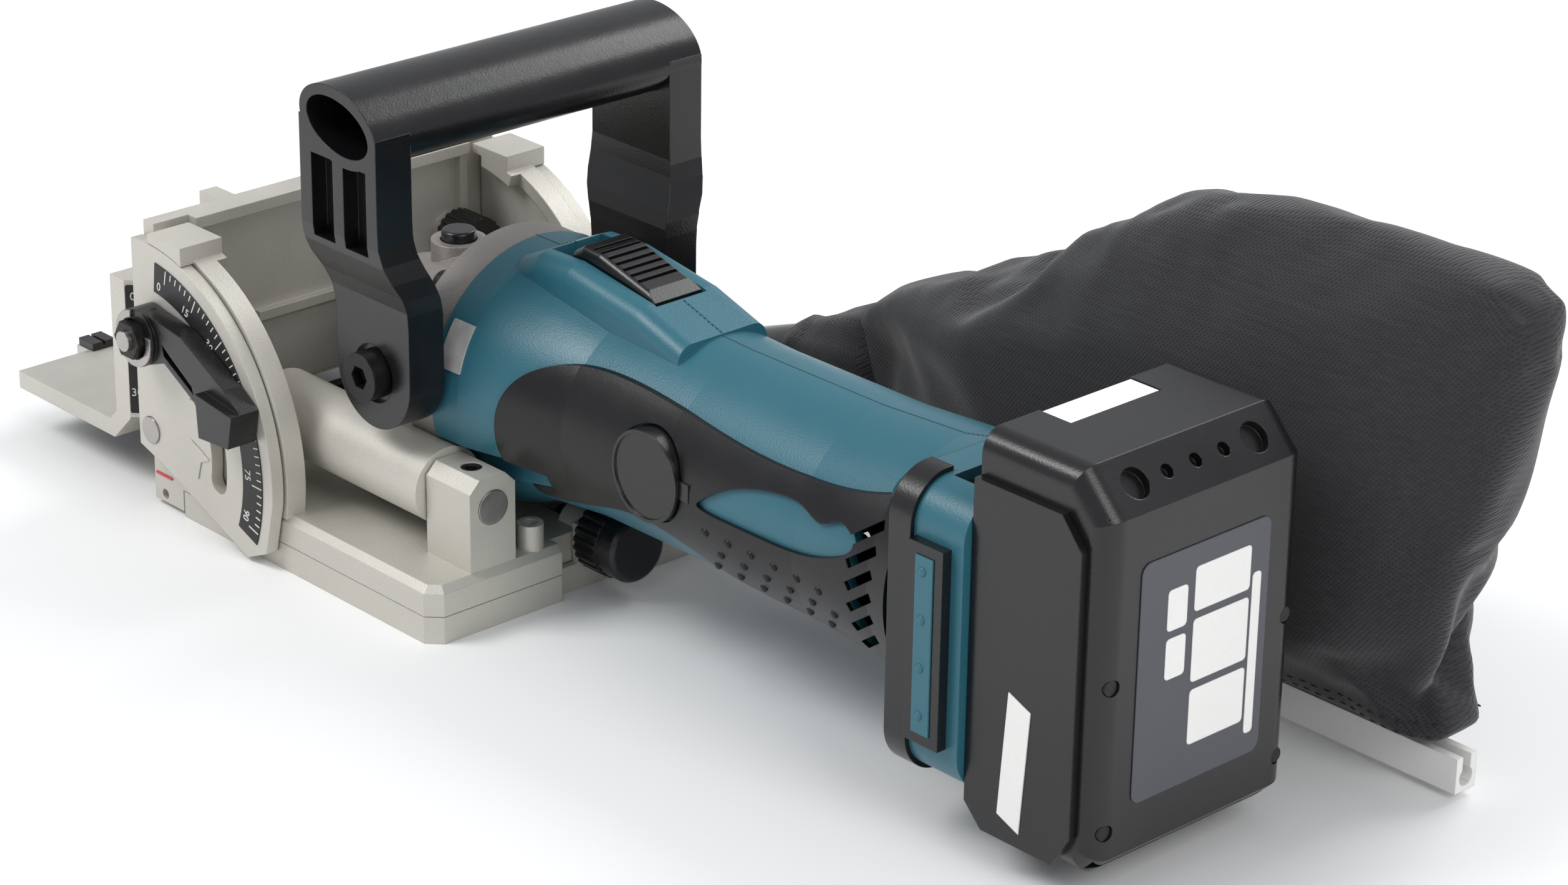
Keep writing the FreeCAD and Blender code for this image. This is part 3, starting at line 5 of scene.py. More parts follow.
import bmesh
import bpy
from bpy.props import FloatProperty, FloatVectorProperty, IntProperty, PointerProperty
from mathutils import Matrix, Vector


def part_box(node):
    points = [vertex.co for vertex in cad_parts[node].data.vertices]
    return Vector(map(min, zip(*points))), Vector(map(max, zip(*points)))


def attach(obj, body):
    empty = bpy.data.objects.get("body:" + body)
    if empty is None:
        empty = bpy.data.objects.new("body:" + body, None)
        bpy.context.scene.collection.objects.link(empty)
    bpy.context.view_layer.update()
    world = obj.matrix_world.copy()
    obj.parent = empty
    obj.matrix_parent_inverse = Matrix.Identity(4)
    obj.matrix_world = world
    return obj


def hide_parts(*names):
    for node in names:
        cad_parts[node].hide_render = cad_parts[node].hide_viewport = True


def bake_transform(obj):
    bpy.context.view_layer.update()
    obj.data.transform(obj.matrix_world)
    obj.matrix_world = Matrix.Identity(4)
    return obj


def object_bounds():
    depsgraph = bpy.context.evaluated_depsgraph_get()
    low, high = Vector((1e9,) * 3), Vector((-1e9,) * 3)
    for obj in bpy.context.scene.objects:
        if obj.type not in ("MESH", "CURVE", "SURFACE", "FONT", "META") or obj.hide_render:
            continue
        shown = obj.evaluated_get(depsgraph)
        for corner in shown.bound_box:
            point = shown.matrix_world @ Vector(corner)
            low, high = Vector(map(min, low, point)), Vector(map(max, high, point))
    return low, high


bl_info = {
    "name": "Biscuit joiner looks",
    "version": (1, 0, 0),
    "blender": (4, 5, 0),
    "location": "View3D > Sidebar > Joiner",
    "description": "Builds the finishes, scales, grip, labels and dust bag of a biscuit joiner",
    "category": "Object",
}

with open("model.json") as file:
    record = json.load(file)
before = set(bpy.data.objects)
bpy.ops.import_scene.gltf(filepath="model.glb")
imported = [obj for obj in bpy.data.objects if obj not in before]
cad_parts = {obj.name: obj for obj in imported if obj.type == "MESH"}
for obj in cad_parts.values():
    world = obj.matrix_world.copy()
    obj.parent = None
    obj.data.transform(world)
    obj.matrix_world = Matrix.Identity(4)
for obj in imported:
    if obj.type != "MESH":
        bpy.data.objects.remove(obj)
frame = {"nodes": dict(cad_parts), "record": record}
cad_box = [list(corner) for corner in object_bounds()]
mm = 0.001
front_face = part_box("base_casting")[0].x
pivot_x, pivot_z = 6.0, 26.0


def at(x, y, z):
    """A place given in millimetres from the front working face, the middle plane and the sole."""
    return Vector((front_face + x * mm, y * mm, z * mm))


# ---- sizes and colours --------------------------------------------------------
class JoinerSizes(bpy.types.PropertyGroup):
    label_thickness: FloatProperty(
        name="Label thickness", description="Thickness of the printed labels", default=0.0003,
        unit="LENGTH")
    tick_width: FloatProperty(
        name="Tick width", description="Width of a graduation line", default=0.00035, unit="LENGTH")
    grip_dot: FloatProperty(
        name="Grip dot", description="Radius of a raised grip dot", default=0.0013, unit="LENGTH")
    grip_pitch: FloatProperty(
        name="Grip pitch", description="Distance between grip dots", default=0.0088, unit="LENGTH")
    stitch_length: FloatProperty(
        name="Stitch length", description="Length of one stitch on the bag", default=0.0024, unit="LENGTH")
    spring_turns: IntProperty(name="Spring turns", description="Turns of each return spring", default=9,
                              min=3, max=20)
    bag_voxel: FloatProperty(
        name="Bag mesh size", description="Spacing of the bag's cloth mesh", default=0.0042, unit="LENGTH")
    bag_frames: IntProperty(
        name="Bag frames", description="Steps of the bag's cloth simulation", default=22, min=2, max=60)


def colour(name, description, value):
    return FloatVectorProperty(name=name, description=description, subtype="COLOR", size=3,
                               min=0.0, max=1.0, default=[linear(c) for c in value])


def linear(level):
    """Light level of a display value from 0 to 255."""
    share = level / 255
    return share / 12.92 if share <= 0.04045 else ((share + 0.055) / 1.055) ** 2.4


class JoinerColours(bpy.types.PropertyGroup):
    teal: colour("Teal", "Motor housing", (44, 99, 114))
    silver: colour("Silver paint", "Base, guide and sleeves", (196, 193, 184))
    fence: colour("Fence", "Cast aluminium fence", (202, 198, 190))
    raw: colour("Raw casting", "Gear housing", (158, 153, 149))
    black: colour("Black", "Handle, battery and controls", (17, 17, 19))
    rubber: colour("Rubber", "Side grips and pads", (20, 20, 22))
    cloth: colour("Cloth", "Dust bag", (38, 38, 41))
    white: colour("White", "Rail, release button and graduations", (232, 232, 229))
    label: colour("Label", "Battery label", (74, 75, 82))
    mark: colour("Mark", "Blade centre marks", (205, 60, 70))


# ---- shader helpers --------------------------------------------------------------
def add(tree, kind, links=None, **values):
    """A node with its values set and its inputs joined."""
    node = tree.nodes.new(kind)
    for key, value in values.items():
        setattr(node, key, value)
    for socket, source in (links or {}).items():
        if hasattr(source, "links"):
            tree.links.new(source, node.inputs[socket])
        else:
            node.inputs[socket].default_value = source
    return node


def shader_group(name, inputs, outputs):
    group = bpy.data.node_groups.new(name, "ShaderNodeTree")
    for label, kind in inputs:
        group.interface.new_socket(label, in_out="INPUT", socket_type=kind)
    for label, kind in outputs:
        group.interface.new_socket(label, in_out="OUTPUT", socket_type=kind)
    start = group.nodes.new("NodeGroupInput")
    end = group.nodes.new("NodeGroupOutput")
    return group, start, end


def grain_group():
    """Fine grain over broad smudges, for any hard finish."""
    if "surface grain" in bpy.data.node_groups:
        return bpy.data.node_groups["surface grain"]
    group, start, end = shader_group(
        "surface grain",
        (("Vector", "NodeSocketVector"), ("Size", "NodeSocketFloat"), ("Smudge", "NodeSocketFloat")),
        (("Height", "NodeSocketFloat"), ("Tone", "NodeSocketFloat"), ("Smudges", "NodeSocketFloat")))
    fine = add(group, "ShaderNodeTexNoise",
               {"Vector": start.outputs["Vector"], "Scale": start.outputs["Size"],
                "Detail": 3.0, "Roughness": 0.6})
    broad = add(group, "ShaderNodeTexNoise",
                {"Vector": start.outputs["Vector"], "Scale": start.outputs["Smudge"],
                 "Detail": 4.0, "Roughness": 0.55})
    speck = add(group, "ShaderNodeTexVoronoi",
                {"Vector": start.outputs["Vector"], "Scale": start.outputs["Size"]})
    height = add(group, "ShaderNodeMath", {0: fine.outputs["Fac"], 1: speck.outputs["Distance"]},
                 operation="ADD")
    tone = add(group, "ShaderNodeMath", {0: fine.outputs["Fac"], 1: broad.outputs["Fac"]},
               operation="MULTIPLY")
    group.links.new(height.outputs[0], end.inputs["Height"])
    group.links.new(tone.outputs[0], end.inputs["Tone"])
    group.links.new(broad.outputs["Fac"], end.inputs["Smudges"])
    return group


def twill_group():
    """Fine diagonal weave crossed by a slight slub."""
    group, start, end = shader_group("twill", (("Vector", "NodeSocketVector"), ("Size", "NodeSocketFloat")),
                                     (("Height", "NodeSocketFloat"), ("Tone", "NodeSocketFloat")))
    turned = add(group, "ShaderNodeMapping", {"Vector": start.outputs["Vector"],
                                              "Rotation": (0.0, math.radians(52), math.radians(8))})
    warp = add(group, "ShaderNodeTexWave", {"Vector": turned.outputs[0], "Scale": start.outputs["Size"],
                                            "Distortion": 0.6, "Detail": 1.0}, bands_direction="X")
    weft = add(group, "ShaderNodeTexWave", {"Vector": turned.outputs[0], "Scale": start.outputs["Size"],
                                            "Distortion": 0.6, "Detail": 1.0}, bands_direction="Z")
    long = add(group, "ShaderNodeMapping",
               {"Vector": start.outputs["Vector"], "Scale": (60.0, 900.0, 900.0)})
    slub = add(group, "ShaderNodeTexNoise", {"Vector": long.outputs[0], "Scale": 1.0, "Detail": 3.0})
    high = add(group, "ShaderNodeMath", {0: warp.outputs["Fac"], 1: weft.outputs["Fac"]},
               operation="MAXIMUM")
    tone = add(group, "ShaderNodeMath", {0: high.outputs[0], 1: slub.outputs["Fac"]}, operation="MULTIPLY")
    group.links.new(high.outputs[0], end.inputs["Height"])
    group.links.new(tone.outputs[0], end.inputs["Tone"])
    return group


def start_material(name, roughness=0.5, metallic=0.0, coat=0.0, ior=1.46, sheen=0.0):
    material = bpy.data.materials.new(name)
    material.use_nodes = True
    tree = material.node_tree
    shader = tree.nodes["Principled BSDF"]
    shader.inputs["Roughness"].default_value = roughness
    shader.inputs["Metallic"].default_value = metallic
    shader.inputs["Coat Weight"].default_value = coat
    shader.inputs["Coat Roughness"].default_value = 0.25
    shader.inputs["IOR"].default_value = ior
    shader.inputs["Sheen Weight"].default_value = sheen
    return material, tree, shader


def tinted(tree, factor, dark, light, low=0.2, high=0.8):
    """Colour that runs from dark to light as a factor rises."""
    ramp = tree.nodes.new("ShaderNodeValToRGB")
    ramp.color_ramp.elements[0].position = low
    ramp.color_ramp.elements[1].position = high
    ramp.color_ramp.elements[0].color = (*dark, 1.0)
    ramp.color_ramp.elements[1].color = (*light, 1.0)
    tree.links.new(factor, ramp.inputs["Fac"])
    return ramp.outputs["Color"]


def finish(name, base, roughness, grain, depth, vary=0.12, spread=0.10, metallic=0.0, coat=0.0,
           stretch=(1.0, 1.0, 1.0), edge=0.0004, smudge=28.0, shine=0.5):
    """Hard finish: grain in the relief, smudges in the gloss, and slightly rounded edges."""
    if name in bpy.data.materials:
        return bpy.data.materials[name]
    material, tree, shader = start_material(name, roughness, metallic, coat)
    shader.inputs["Specular IOR Level"].default_value = shine
    place = add(tree, "ShaderNodeTexCoord")
    scaled = add(tree, "ShaderNodeMapping", {"Vector": place.outputs["Object"], "Scale": stretch})
    grains = add(tree, "ShaderNodeGroup", node_tree=grain_group())
    tree.links.new(scaled.outputs[0], grains.inputs["Vector"])
    grains.inputs["Size"].default_value = grain
    grains.inputs["Smudge"].default_value = smudge
    dark = [c * (1 - vary) for c in base]
    light = [min(1.0, c * (1 + vary)) for c in base]
    tree.links.new(tinted(tree, grains.outputs["Tone"], dark, light, 0.1, 0.45),
                   shader.inputs["Base Color"])
    gloss = add(tree, "ShaderNodeMapRange",
                {"Value": grains.outputs["Smudges"], "From Min": 0.3, "From Max": 0.7,
                 "To Min": max(0.05, roughness - spread),
                 "To Max": roughness + spread})
    tree.links.new(gloss.outputs["Result"], shader.inputs["Roughness"])
    eased = add(tree, "ShaderNodeBevel", {"Radius": edge}, samples=6)
    relief = add(tree, "ShaderNodeBump",
                 {"Height": grains.outputs["Height"], "Distance": depth, "Strength": 0.6,
                  "Normal": eased.outputs["Normal"]})
    tree.links.new(relief.outputs["Normal"], shader.inputs["Normal"])
    return material


def palette():
    """The hard finishes, by the record's material slot."""
    c = bpy.context.scene.joiner_colours
    steel = (0.42, 0.40, 0.38)
    return {
        "silver_paint": finish("silver paint", c.silver, 0.42, 2600, 0.00006, metallic=0.35, vary=0.10),
        "fence_aluminium": finish("cast aluminium", c.fence, 0.46, 2300, 0.00008, metallic=0.5, vary=0.10),
        "raw_casting": finish("raw casting", c.raw, 0.44, 1900, 0.00010, metallic=0.65, vary=0.16),
        "steel": finish("turned steel", steel, 0.30, 900, 0.00003, metallic=1.0, stretch=(1, 5, 5)),
        "dark_steel": finish("blackened steel", (0.035, 0.033, 0.032), 0.38, 1500, 0.00004, metallic=0.8,
                             vary=0.3),
        "black_plastic": finish("black nylon", c.black, 0.27, 1700, 0.00003, vary=0.22, spread=0.06,
                                coat=0.15),
        "black_rubber": finish("grip rubber", c.rubber, 0.34, 2400, 0.00002, vary=0.2, spread=0.07,
                               shine=0.4),
        "teal_plastic": finish("teal housing", c.teal, 0.36, 2100, 0.00005, vary=0.05, spread=0.05),
        "white_plastic": finish("white plastic", c.white, 0.38, 1200, 0.00003, vary=0.03),
        "copper": finish("winding copper", (0.50, 0.20, 0.09), 0.35, 900, 0.0001, metallic=0.9),
        "bearing_bronze": finish("sintered bronze", (0.38, 0.24, 0.10), 0.45, 2200, 0.00008, metallic=0.9),
        "carbon": finish("carbon", (0.03, 0.03, 0.03), 0.5, 2600, 0.00005),
        "cell_wrap": finish("cell wrap", (0.06, 0.28, 0.20), 0.3, 500, 0.00002),
    }


def window_material():
    material, tree, shader = start_material("frosted window", 0.35)
    place = add(tree, "ShaderNodeTexCoord")
    cloud = add(tree, "ShaderNodeTexNoise",
                {"Vector": place.outputs["Object"], "Scale": 160.0, "Detail": 2.0})
    tree.links.new(tinted(tree, cloud.outputs["Fac"], (0.40, 0.40, 0.39), (0.62, 0.62, 0.60)),
                   shader.inputs["Base Color"])
    shader.inputs["Transmission Weight"].default_value = 0.25
    return material


# ---- making pieces ---------------------------------------------------------------
def piece_of(mesh, name, material, body):
    """Gives a mesh its object, finish, body and slot."""
    item = bpy.data.objects.new(name, mesh)
    bpy.context.scene.collection.objects.link(item)
    if material is not None:
        mesh.materials.clear()
        mesh.materials.append(material)
    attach(item, body)
    return item


def from_outline(outline, thickness, matrix):
    """Flat plate from an outline in its own plane, with its back on that plane."""
    bm = bmesh.new()
    face = bm.faces.new([bm.verts.new((x, y, 0.0)) for x, y in outline])
    if face.normal.z < 0 or face.calc_area() > 0 and face_turn(outline) < 0:
        face.normal_flip()
    lid = bmesh.ops.extrude_face_region(bm, geom=[face])
    bmesh.ops.translate(bm, vec=(0, 0, thickness),
                        verts=[v for v in lid["geom"] if isinstance(v, bmesh.types.BMVert)])
    bmesh.ops.recalc_face_normals(bm, faces=bm.faces)
    bmesh.ops.transform(bm, matrix=matrix, verts=bm.verts)
    mesh = bpy.data.meshes.new("plate")
    bm.to_mesh(mesh)
    bm.free()
    return mesh


def ring_mesh(outer, inner, thickness, matrix):
    """Flat ring between two outlines with as many points each."""
    bm = bmesh.new()
    levels = [[[bm.verts.new((x, y, z)) for x, y in loop] for z in (0.0, thickness)]
              for loop in (outer, inner)]
    count = len(outer)
    for k in range(count):
        n = (k + 1) % count
        (a0, a1), (b0, b1) = levels
        bm.faces.new((a0[k], a0[n], a1[n], a1[k]))
        bm.faces.new((b0[k], b1[k], b1[n], b0[n]))
        bm.faces.new((a1[k], a1[n], b1[n], b1[k]))
        bm.faces.new((a0[k], b0[k], b0[n], a0[n]))
    bmesh.ops.recalc_face_normals(bm, faces=bm.faces)
    bmesh.ops.transform(bm, matrix=matrix, verts=bm.verts)
    mesh = bpy.data.meshes.new("ring")
    bm.to_mesh(mesh)
    bm.free()
    return mesh


def face_turn(outline):
    return sum(a[0] * b[1] - b[0] * a[1] for a, b in zip(outline, outline[1:] + outline[:1]))


def rounded(width, height, radius, steps=6):
    """Rectangle with round corners, centred on its own origin."""
    points = []
    for cx, cy, start in ((1, 1, 0), (-1, 1, 90), (-1, -1, 180), (1, -1, 270)):
        for k in range(steps + 1):
            turn = math.radians(start + 90 * k / steps)
            points.append((cx * (width / 2 - radius) + radius * math.cos(turn),
                           cy * (height / 2 - radius) + radius * math.sin(turn)))
    return points


def plane_matrix(origin, across, up):
    """Places a flat drawing: its X along across, its Y along up."""
    across, up = Vector(across).normalized(), Vector(up).normalized()
    out = across.cross(up)
    matrix = Matrix((across, up, out)).transposed().to_4x4()
    matrix.translation = origin
    return matrix


def joined(meshes):
    """One mesh from several."""
    bm = bmesh.new()
    for mesh in meshes:
        bm.from_mesh(mesh)
        bpy.data.meshes.remove(mesh)
    whole = bpy.data.meshes.new("joined")
    bm.to_mesh(whole)
    bm.free()
    return whole


def number(text, height, thickness, matrix):
    """A printed number as a thin solid, centred on its place."""
    curve = bpy.data.curves.new("number", "FONT")
    curve.body = text
    curve.size = height * 1.4
    curve.align_x = "CENTER"
    curve.align_y = "CENTER"
    curve.extrude = thickness / 2
    curve.resolution_u = 3
    writer = bpy.data.objects.new("number", curve)
    bpy.context.scene.collection.objects.link(writer)
    mesh = bpy.data.meshes.new_from_object(writer.evaluated_get(bpy.context.evaluated_depsgraph_get()))
    bpy.data.objects.remove(writer)
    mesh.transform(matrix)
    return mesh


# ---- geometry node trees -------------------------------------------------------------
def geometry_tree(name, inputs):
    """A tree with named inputs, its start node, and a function that ends it."""
    group = bpy.data.node_groups.new(name, "GeometryNodeTree")
    for label, kind, value in inputs:
        socket = group.interface.new_socket(label, in_out="INPUT", socket_type="NodeSocket" + kind)
        if value is not None:
            socket.default_value = value
    group.interface.new_socket("Material", in_out="INPUT", socket_type="NodeSocketMaterial")
    group.interface.new_socket("Geometry", in_out="OUTPUT", socket_type="NodeSocketGeometry")
    start = group.nodes.new("NodeGroupInput")

    def close(geometry):
        real = add(group, "GeometryNodeRealizeInstances", {"Geometry": geometry})
        dressed = add(group, "GeometryNodeSetMaterial", {"Geometry": real.outputs[0],
                                                         "Material": start.outputs["Material"]})
        end = group.nodes.new("NodeGroupOutput")
        group.links.new(dressed.outputs[0], end.inputs["Geometry"])

    return group, start, close


def grown(group, name, sizes):
    """Runs a tree and keeps its result as a plain mesh."""
    carrier = bpy.data.objects.new(name, bpy.data.meshes.new(name))
    bpy.context.scene.collection.objects.link(carrier)
    modifier = carrier.modifiers.new(name, "NODES")
    modifier.node_group = group
    for item in group.interface.items_tree:
        if item.in_out == "INPUT" and item.name in sizes:
            modifier[item.identifier] = sizes[item.name]
    graph = bpy.context.evaluated_depsgraph_get()
    mesh = bpy.data.meshes.new_from_object(carrier.evaluated_get(graph), depsgraph=graph)
    bpy.data.objects.remove(carrier)
    return mesh


def tick_tree():
    """Graduations: a straight row, or an arc when a radius is given."""
    group, start, close = geometry_tree("graduations", (
        ("Count", "Int", 31), ("Step", "Float", 0.001), ("Turn Step", "Float", 0.0),
        ("First Turn", "Float", 0.0),
        ("Radius", "Float", 0.0), ("Width", "Float", 0.0003), ("Short", "Float", 0.002),
        ("Long", "Float", 0.004),
        ("Every", "Int", 5), ("Thickness", "Float", 0.0003)))
    index = add(group, "GeometryNodeInputIndex").outputs[0]
    row = add(group, "GeometryNodeMeshLine", {"Count": start.outputs["Count"]})
    fall = add(group, "ShaderNodeMath", {0: index, 1: start.outputs["Step"]},
               operation="MULTIPLY").outputs[0]
    sweep = add(group, "ShaderNodeMath", {0: index, 1: start.outputs["Turn Step"]},
                operation="MULTIPLY").outputs[0]
    turn = add(group, "ShaderNodeMath", {0: sweep, 1: start.outputs["First Turn"]},
               operation="ADD").outputs[0]
    cosine = add(group, "ShaderNodeMath", {0: turn}, operation="COSINE").outputs[0]
    sine = add(group, "ShaderNodeMath", {0: turn}, operation="SINE").outputs[0]
    x = add(group, "ShaderNodeMath", {0: cosine, 1: start.outputs["Radius"]},
            operation="MULTIPLY").outputs[0]
    arc_y = add(group, "ShaderNodeMath", {0: sine, 1: start.outputs["Radius"]},
                operation="MULTIPLY").outputs[0]
    y = add(group, "ShaderNodeMath", {0: arc_y, 1: fall}, operation="SUBTRACT").outputs[0]
    spot = add(group, "ShaderNodeCombineXYZ", {"X": x, "Y": y}).outputs[0]
    placed = add(group, "GeometryNodeSetPosition", {"Geometry": row.outputs[0], "Position": spot})
    beat = add(group, "ShaderNodeMath", {0: index, 1: start.outputs["Every"]},
               operation="MODULO").outputs[0]
    minor = add(group, "ShaderNodeMath", {0: beat, 1: 0.5}, operation="GREATER_THAN").outputs[0]
    reach = add(group, "ShaderNodeMapRange", {"Value": minor, "To Min": start.outputs["Long"],
                                              "To Max": start.outputs["Short"]}).outputs["Result"]
    size = add(group, "ShaderNodeCombineXYZ", {"X": reach, "Y": start.outputs["Width"],
                                               "Z": start.outputs["Thickness"]}).outputs[0]
    bar = add(group, "GeometryNodeMeshCube", {"Size": (1.0, 1.0, 1.0)})
    ended = add(group, "GeometryNodeTransform",
                {"Geometry": bar.outputs[0], "Translation": (-0.5, 0.0, 0.5)})
    twist = add(group, "ShaderNodeCombineXYZ", {"Z": turn}).outputs[0]
    ticks = add(group, "GeometryNodeInstanceOnPoints",
                {"Points": placed.outputs[0], "Instance": ended.outputs[0],
                 "Rotation": twist, "Scale": size})
    close(ticks.outputs[0])
    return group


def stud_tree():
    """Rows of small rounded studs laid on another piece's surface."""
    group, start, close = geometry_tree("studs on a surface", (
        ("Target", "Object", None), ("Across", "Int", 9), ("Up", "Int", 3), ("Pitch", "Float", 0.006),
        ("Row Gap", "Float", 0.005), ("Stagger", "Float", 0.5), ("First", "Vector", None),
        ("Toward", "Vector", None),
        ("Size", "Vector", None), ("Tilt", "Float", 0.0)))
    index = add(group, "GeometryNodeInputIndex").outputs[0]
    total = add(group, "ShaderNodeMath", {0: start.outputs["Across"], 1: start.outputs["Up"]},
                operation="MULTIPLY").outputs[0]
    points = add(group, "GeometryNodeMeshLine", {"Count": total})
    column = add(group, "ShaderNodeMath", {0: index, 1: start.outputs["Across"]},
                 operation="MODULO").outputs[0]
    ratio = add(group, "ShaderNodeMath", {0: index, 1: start.outputs["Across"]},
                operation="DIVIDE").outputs[0]
    line = add(group, "ShaderNodeMath", {0: ratio}, operation="FLOOR").outputs[0]
    odd = add(group, "ShaderNodeMath", {0: line, 1: 2.0}, operation="MODULO").outputs[0]
    shift = add(group, "ShaderNodeMath", {0: odd, 1: start.outputs["Stagger"]},
                operation="MULTIPLY").outputs[0]
    place = add(group, "ShaderNodeMath", {0: column, 1: shift}, operation="ADD").outputs[0]
    x = add(group, "ShaderNodeMath", {0: place, 1: start.outputs["Pitch"]}, operation="MULTIPLY").outputs[0]
    rise = add(group, "ShaderNodeMath", {0: line, 1: start.outputs["Row Gap"]},
               operation="MULTIPLY").outputs[0]
    lean = add(group, "ShaderNodeMath", {0: x, 1: start.outputs["Tilt"]}, operation="MULTIPLY").outputs[0]
    z = add(group, "ShaderNodeMath", {0: rise, 1: lean}, operation="ADD").outputs[0]
    offset = add(group, "ShaderNodeCombineXYZ", {"X": x, "Z": z}).outputs[0]
    source = add(group, "ShaderNodeVectorMath", {0: offset, 1: start.outputs["First"]},
                 operation="ADD").outputs[0]
    spread = add(group, "GeometryNodeSetPosition", {"Geometry": points.outputs[0], "Position": source})
    target = add(group, "GeometryNodeObjectInfo", {"Object": start.outputs["Target"]})
    ray = add(group, "GeometryNodeRaycast", {"Target Geometry": target.outputs["Geometry"],
                                             "Ray Direction": start.outputs["Toward"], "Ray Length": 0.2})
    near = add(group, "GeometryNodeSetPosition", {"Geometry": spread.outputs[0],
                                                  "Selection": ray.outputs["Is Hit"],
                                                  "Position": ray.outputs["Hit Position"]})
    miss = add(group, "FunctionNodeBooleanMath", {0: ray.outputs["Is Hit"]}, operation="NOT").outputs[0]
    kept = add(group, "GeometryNodeDeleteGeometry", {"Geometry": spread.outputs[0], "Selection": miss})
    group.links.new(kept.outputs[0], near.inputs["Geometry"])
    ball = add(group, "GeometryNodeMeshIcoSphere", {"Radius": 1.0, "Subdivisions": 2})
    smooth = add(group, "GeometryNodeSetShadeSmooth", {"Geometry": ball.outputs["Mesh"]})
    studs = add(group, "GeometryNodeInstanceOnPoints",
                {"Points": near.outputs[0], "Instance": smooth.outputs[0],
                 "Scale": start.outputs["Size"]})
    close(studs.outputs[0])
    return group


# ---- operators -------------------------------------------------------------------
class JOINER_OT_finishes(bpy.types.Operator):
    """Gives every rigid piece its finish"""

    bl_idname = "joiner.finishes"
    bl_label = "Finishes"

    def execute(self, context):
        finishes = palette()
        finishes["clear_plastic"] = window_material()
        finishes["bag_fabric"] = finishes["black_rubber"]
        slots = {p["node"]: p["material_slot"] for p in frame["record"]["subparts"]}
        for name, item in frame["nodes"].items():
            for place in item.material_slots:
                place.material = finishes[slots[name]]
            if not item.material_slots:
                raise RuntimeError(name + " has no material slot")
        return {"FINISHED"}


class JOINER_OT_angle_scale(bpy.types.Operator):
    """Black arc label with graduations and numbers on the guide's left cheek"""

    bl_idname = "joiner.angle_scale"
    bl_label = "Angle scale"

    def execute(self, context):
        sizes = context.scene.joiner_sizes
        thick = sizes.label_thickness
        low, high, inner, outer = -21.0, 84.0, 44.6 * mm, 53.6 * mm
        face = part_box("guide_casting")[0].y
        matrix = plane_matrix(Vector((at(pivot_x, 0, 0).x, face, pivot_z * mm)), (1, 0, 0), (0, 0, 1))
        turns = [math.radians(low + (high - low) * k / 48) for k in range(49)]
        outline = [(outer * math.cos(t), outer * math.sin(t)) for t in turns]
        outline += [(inner * math.cos(t), inner * math.sin(t)) for t in reversed(turns)]
        ink = finish("label black", (0.012, 0.012, 0.013), 0.45, 1500, 0.00002)
        piece_of(from_outline(outline, thick, matrix), "angle_label", ink, "angle_guide")
        paint = palette()["white_plastic"]
        zero, last = 78.0, -17.0
        step = math.radians(last - zero) / 36
        ticks = grown(tick_tree(), "angle_ticks", {
            "Count": 37, "Step": 0.0, "Turn Step": step, "First Turn": math.radians(zero),
            "Radius": outer - 0.2 * mm,
            "Width": sizes.tick_width, "Short": 2.0 * mm, "Long": 4.4 * mm, "Every": 6,
            "Thickness": thick * 0.5,
            "Material": paint})
        ticks.transform(matrix @ Matrix.Translation((0, 0, thick)))
        piece_of(ticks, "angle_ticks", None, "angle_guide")
        figures = []
        for value in (0, 15, 30, 45, 60, 75, 90):
            turn = math.radians(zero + (last - zero) * value / 90 + 3.0)
            out = Vector((math.cos(turn), 0, math.sin(turn)))
            along = Vector((math.sin(turn), 0, -math.cos(turn)))
            spot = Vector((at(pivot_x, 0, 0).x, face - thick * 1.2, pivot_z * mm)) + out * 47.0 * mm
            figures.append(number(str(value), 2.6 * mm, thick * 0.5, plane_matrix(spot, along, out)))
        piece_of(joined(figures), "angle_numbers", paint, "angle_guide")
        return {"FINISHED"}


class JOINER_OT_guide_details(bpy.types.Operator):
    """Raised block and pointer wedge cast on both cheeks of the guide"""

    bl_idname = "joiner.guide_details"
    bl_label = "Guide details"

    def execute(self, context):
        raised = 0.4 * mm
        block_and_wedge = ([(25.0, 38.2), (34.6, 36.6), (35.6, 40.6), (26.0, 42.2)],
                  [(25.6, 29.4), (28.6, 17.8), (30.4, 23.8), (34.4, 25.6), (30.6, 27.4)])
        parts = []
        for side, face in ((-1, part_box("guide_casting")[0].y), (1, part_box("guide_casting")[1].y)):
            place = plane_matrix(Vector((front_face, face, 0)), (-side, 0, 0), (0, 0, 1))
            for shape in block_and_wedge:
                outline = [(x * mm * -side, z * mm) for x, z in shape]
                parts.append(from_outline(outline, raised, place))
        piece = piece_of(joined(parts), "guide_details", palette()["silver_paint"], "angle_guide")
        eased = piece.modifiers.new("eased", "BEVEL")
        eased.width = 0.15 * mm
        eased.segments = 2
        return {"FINISHED"}


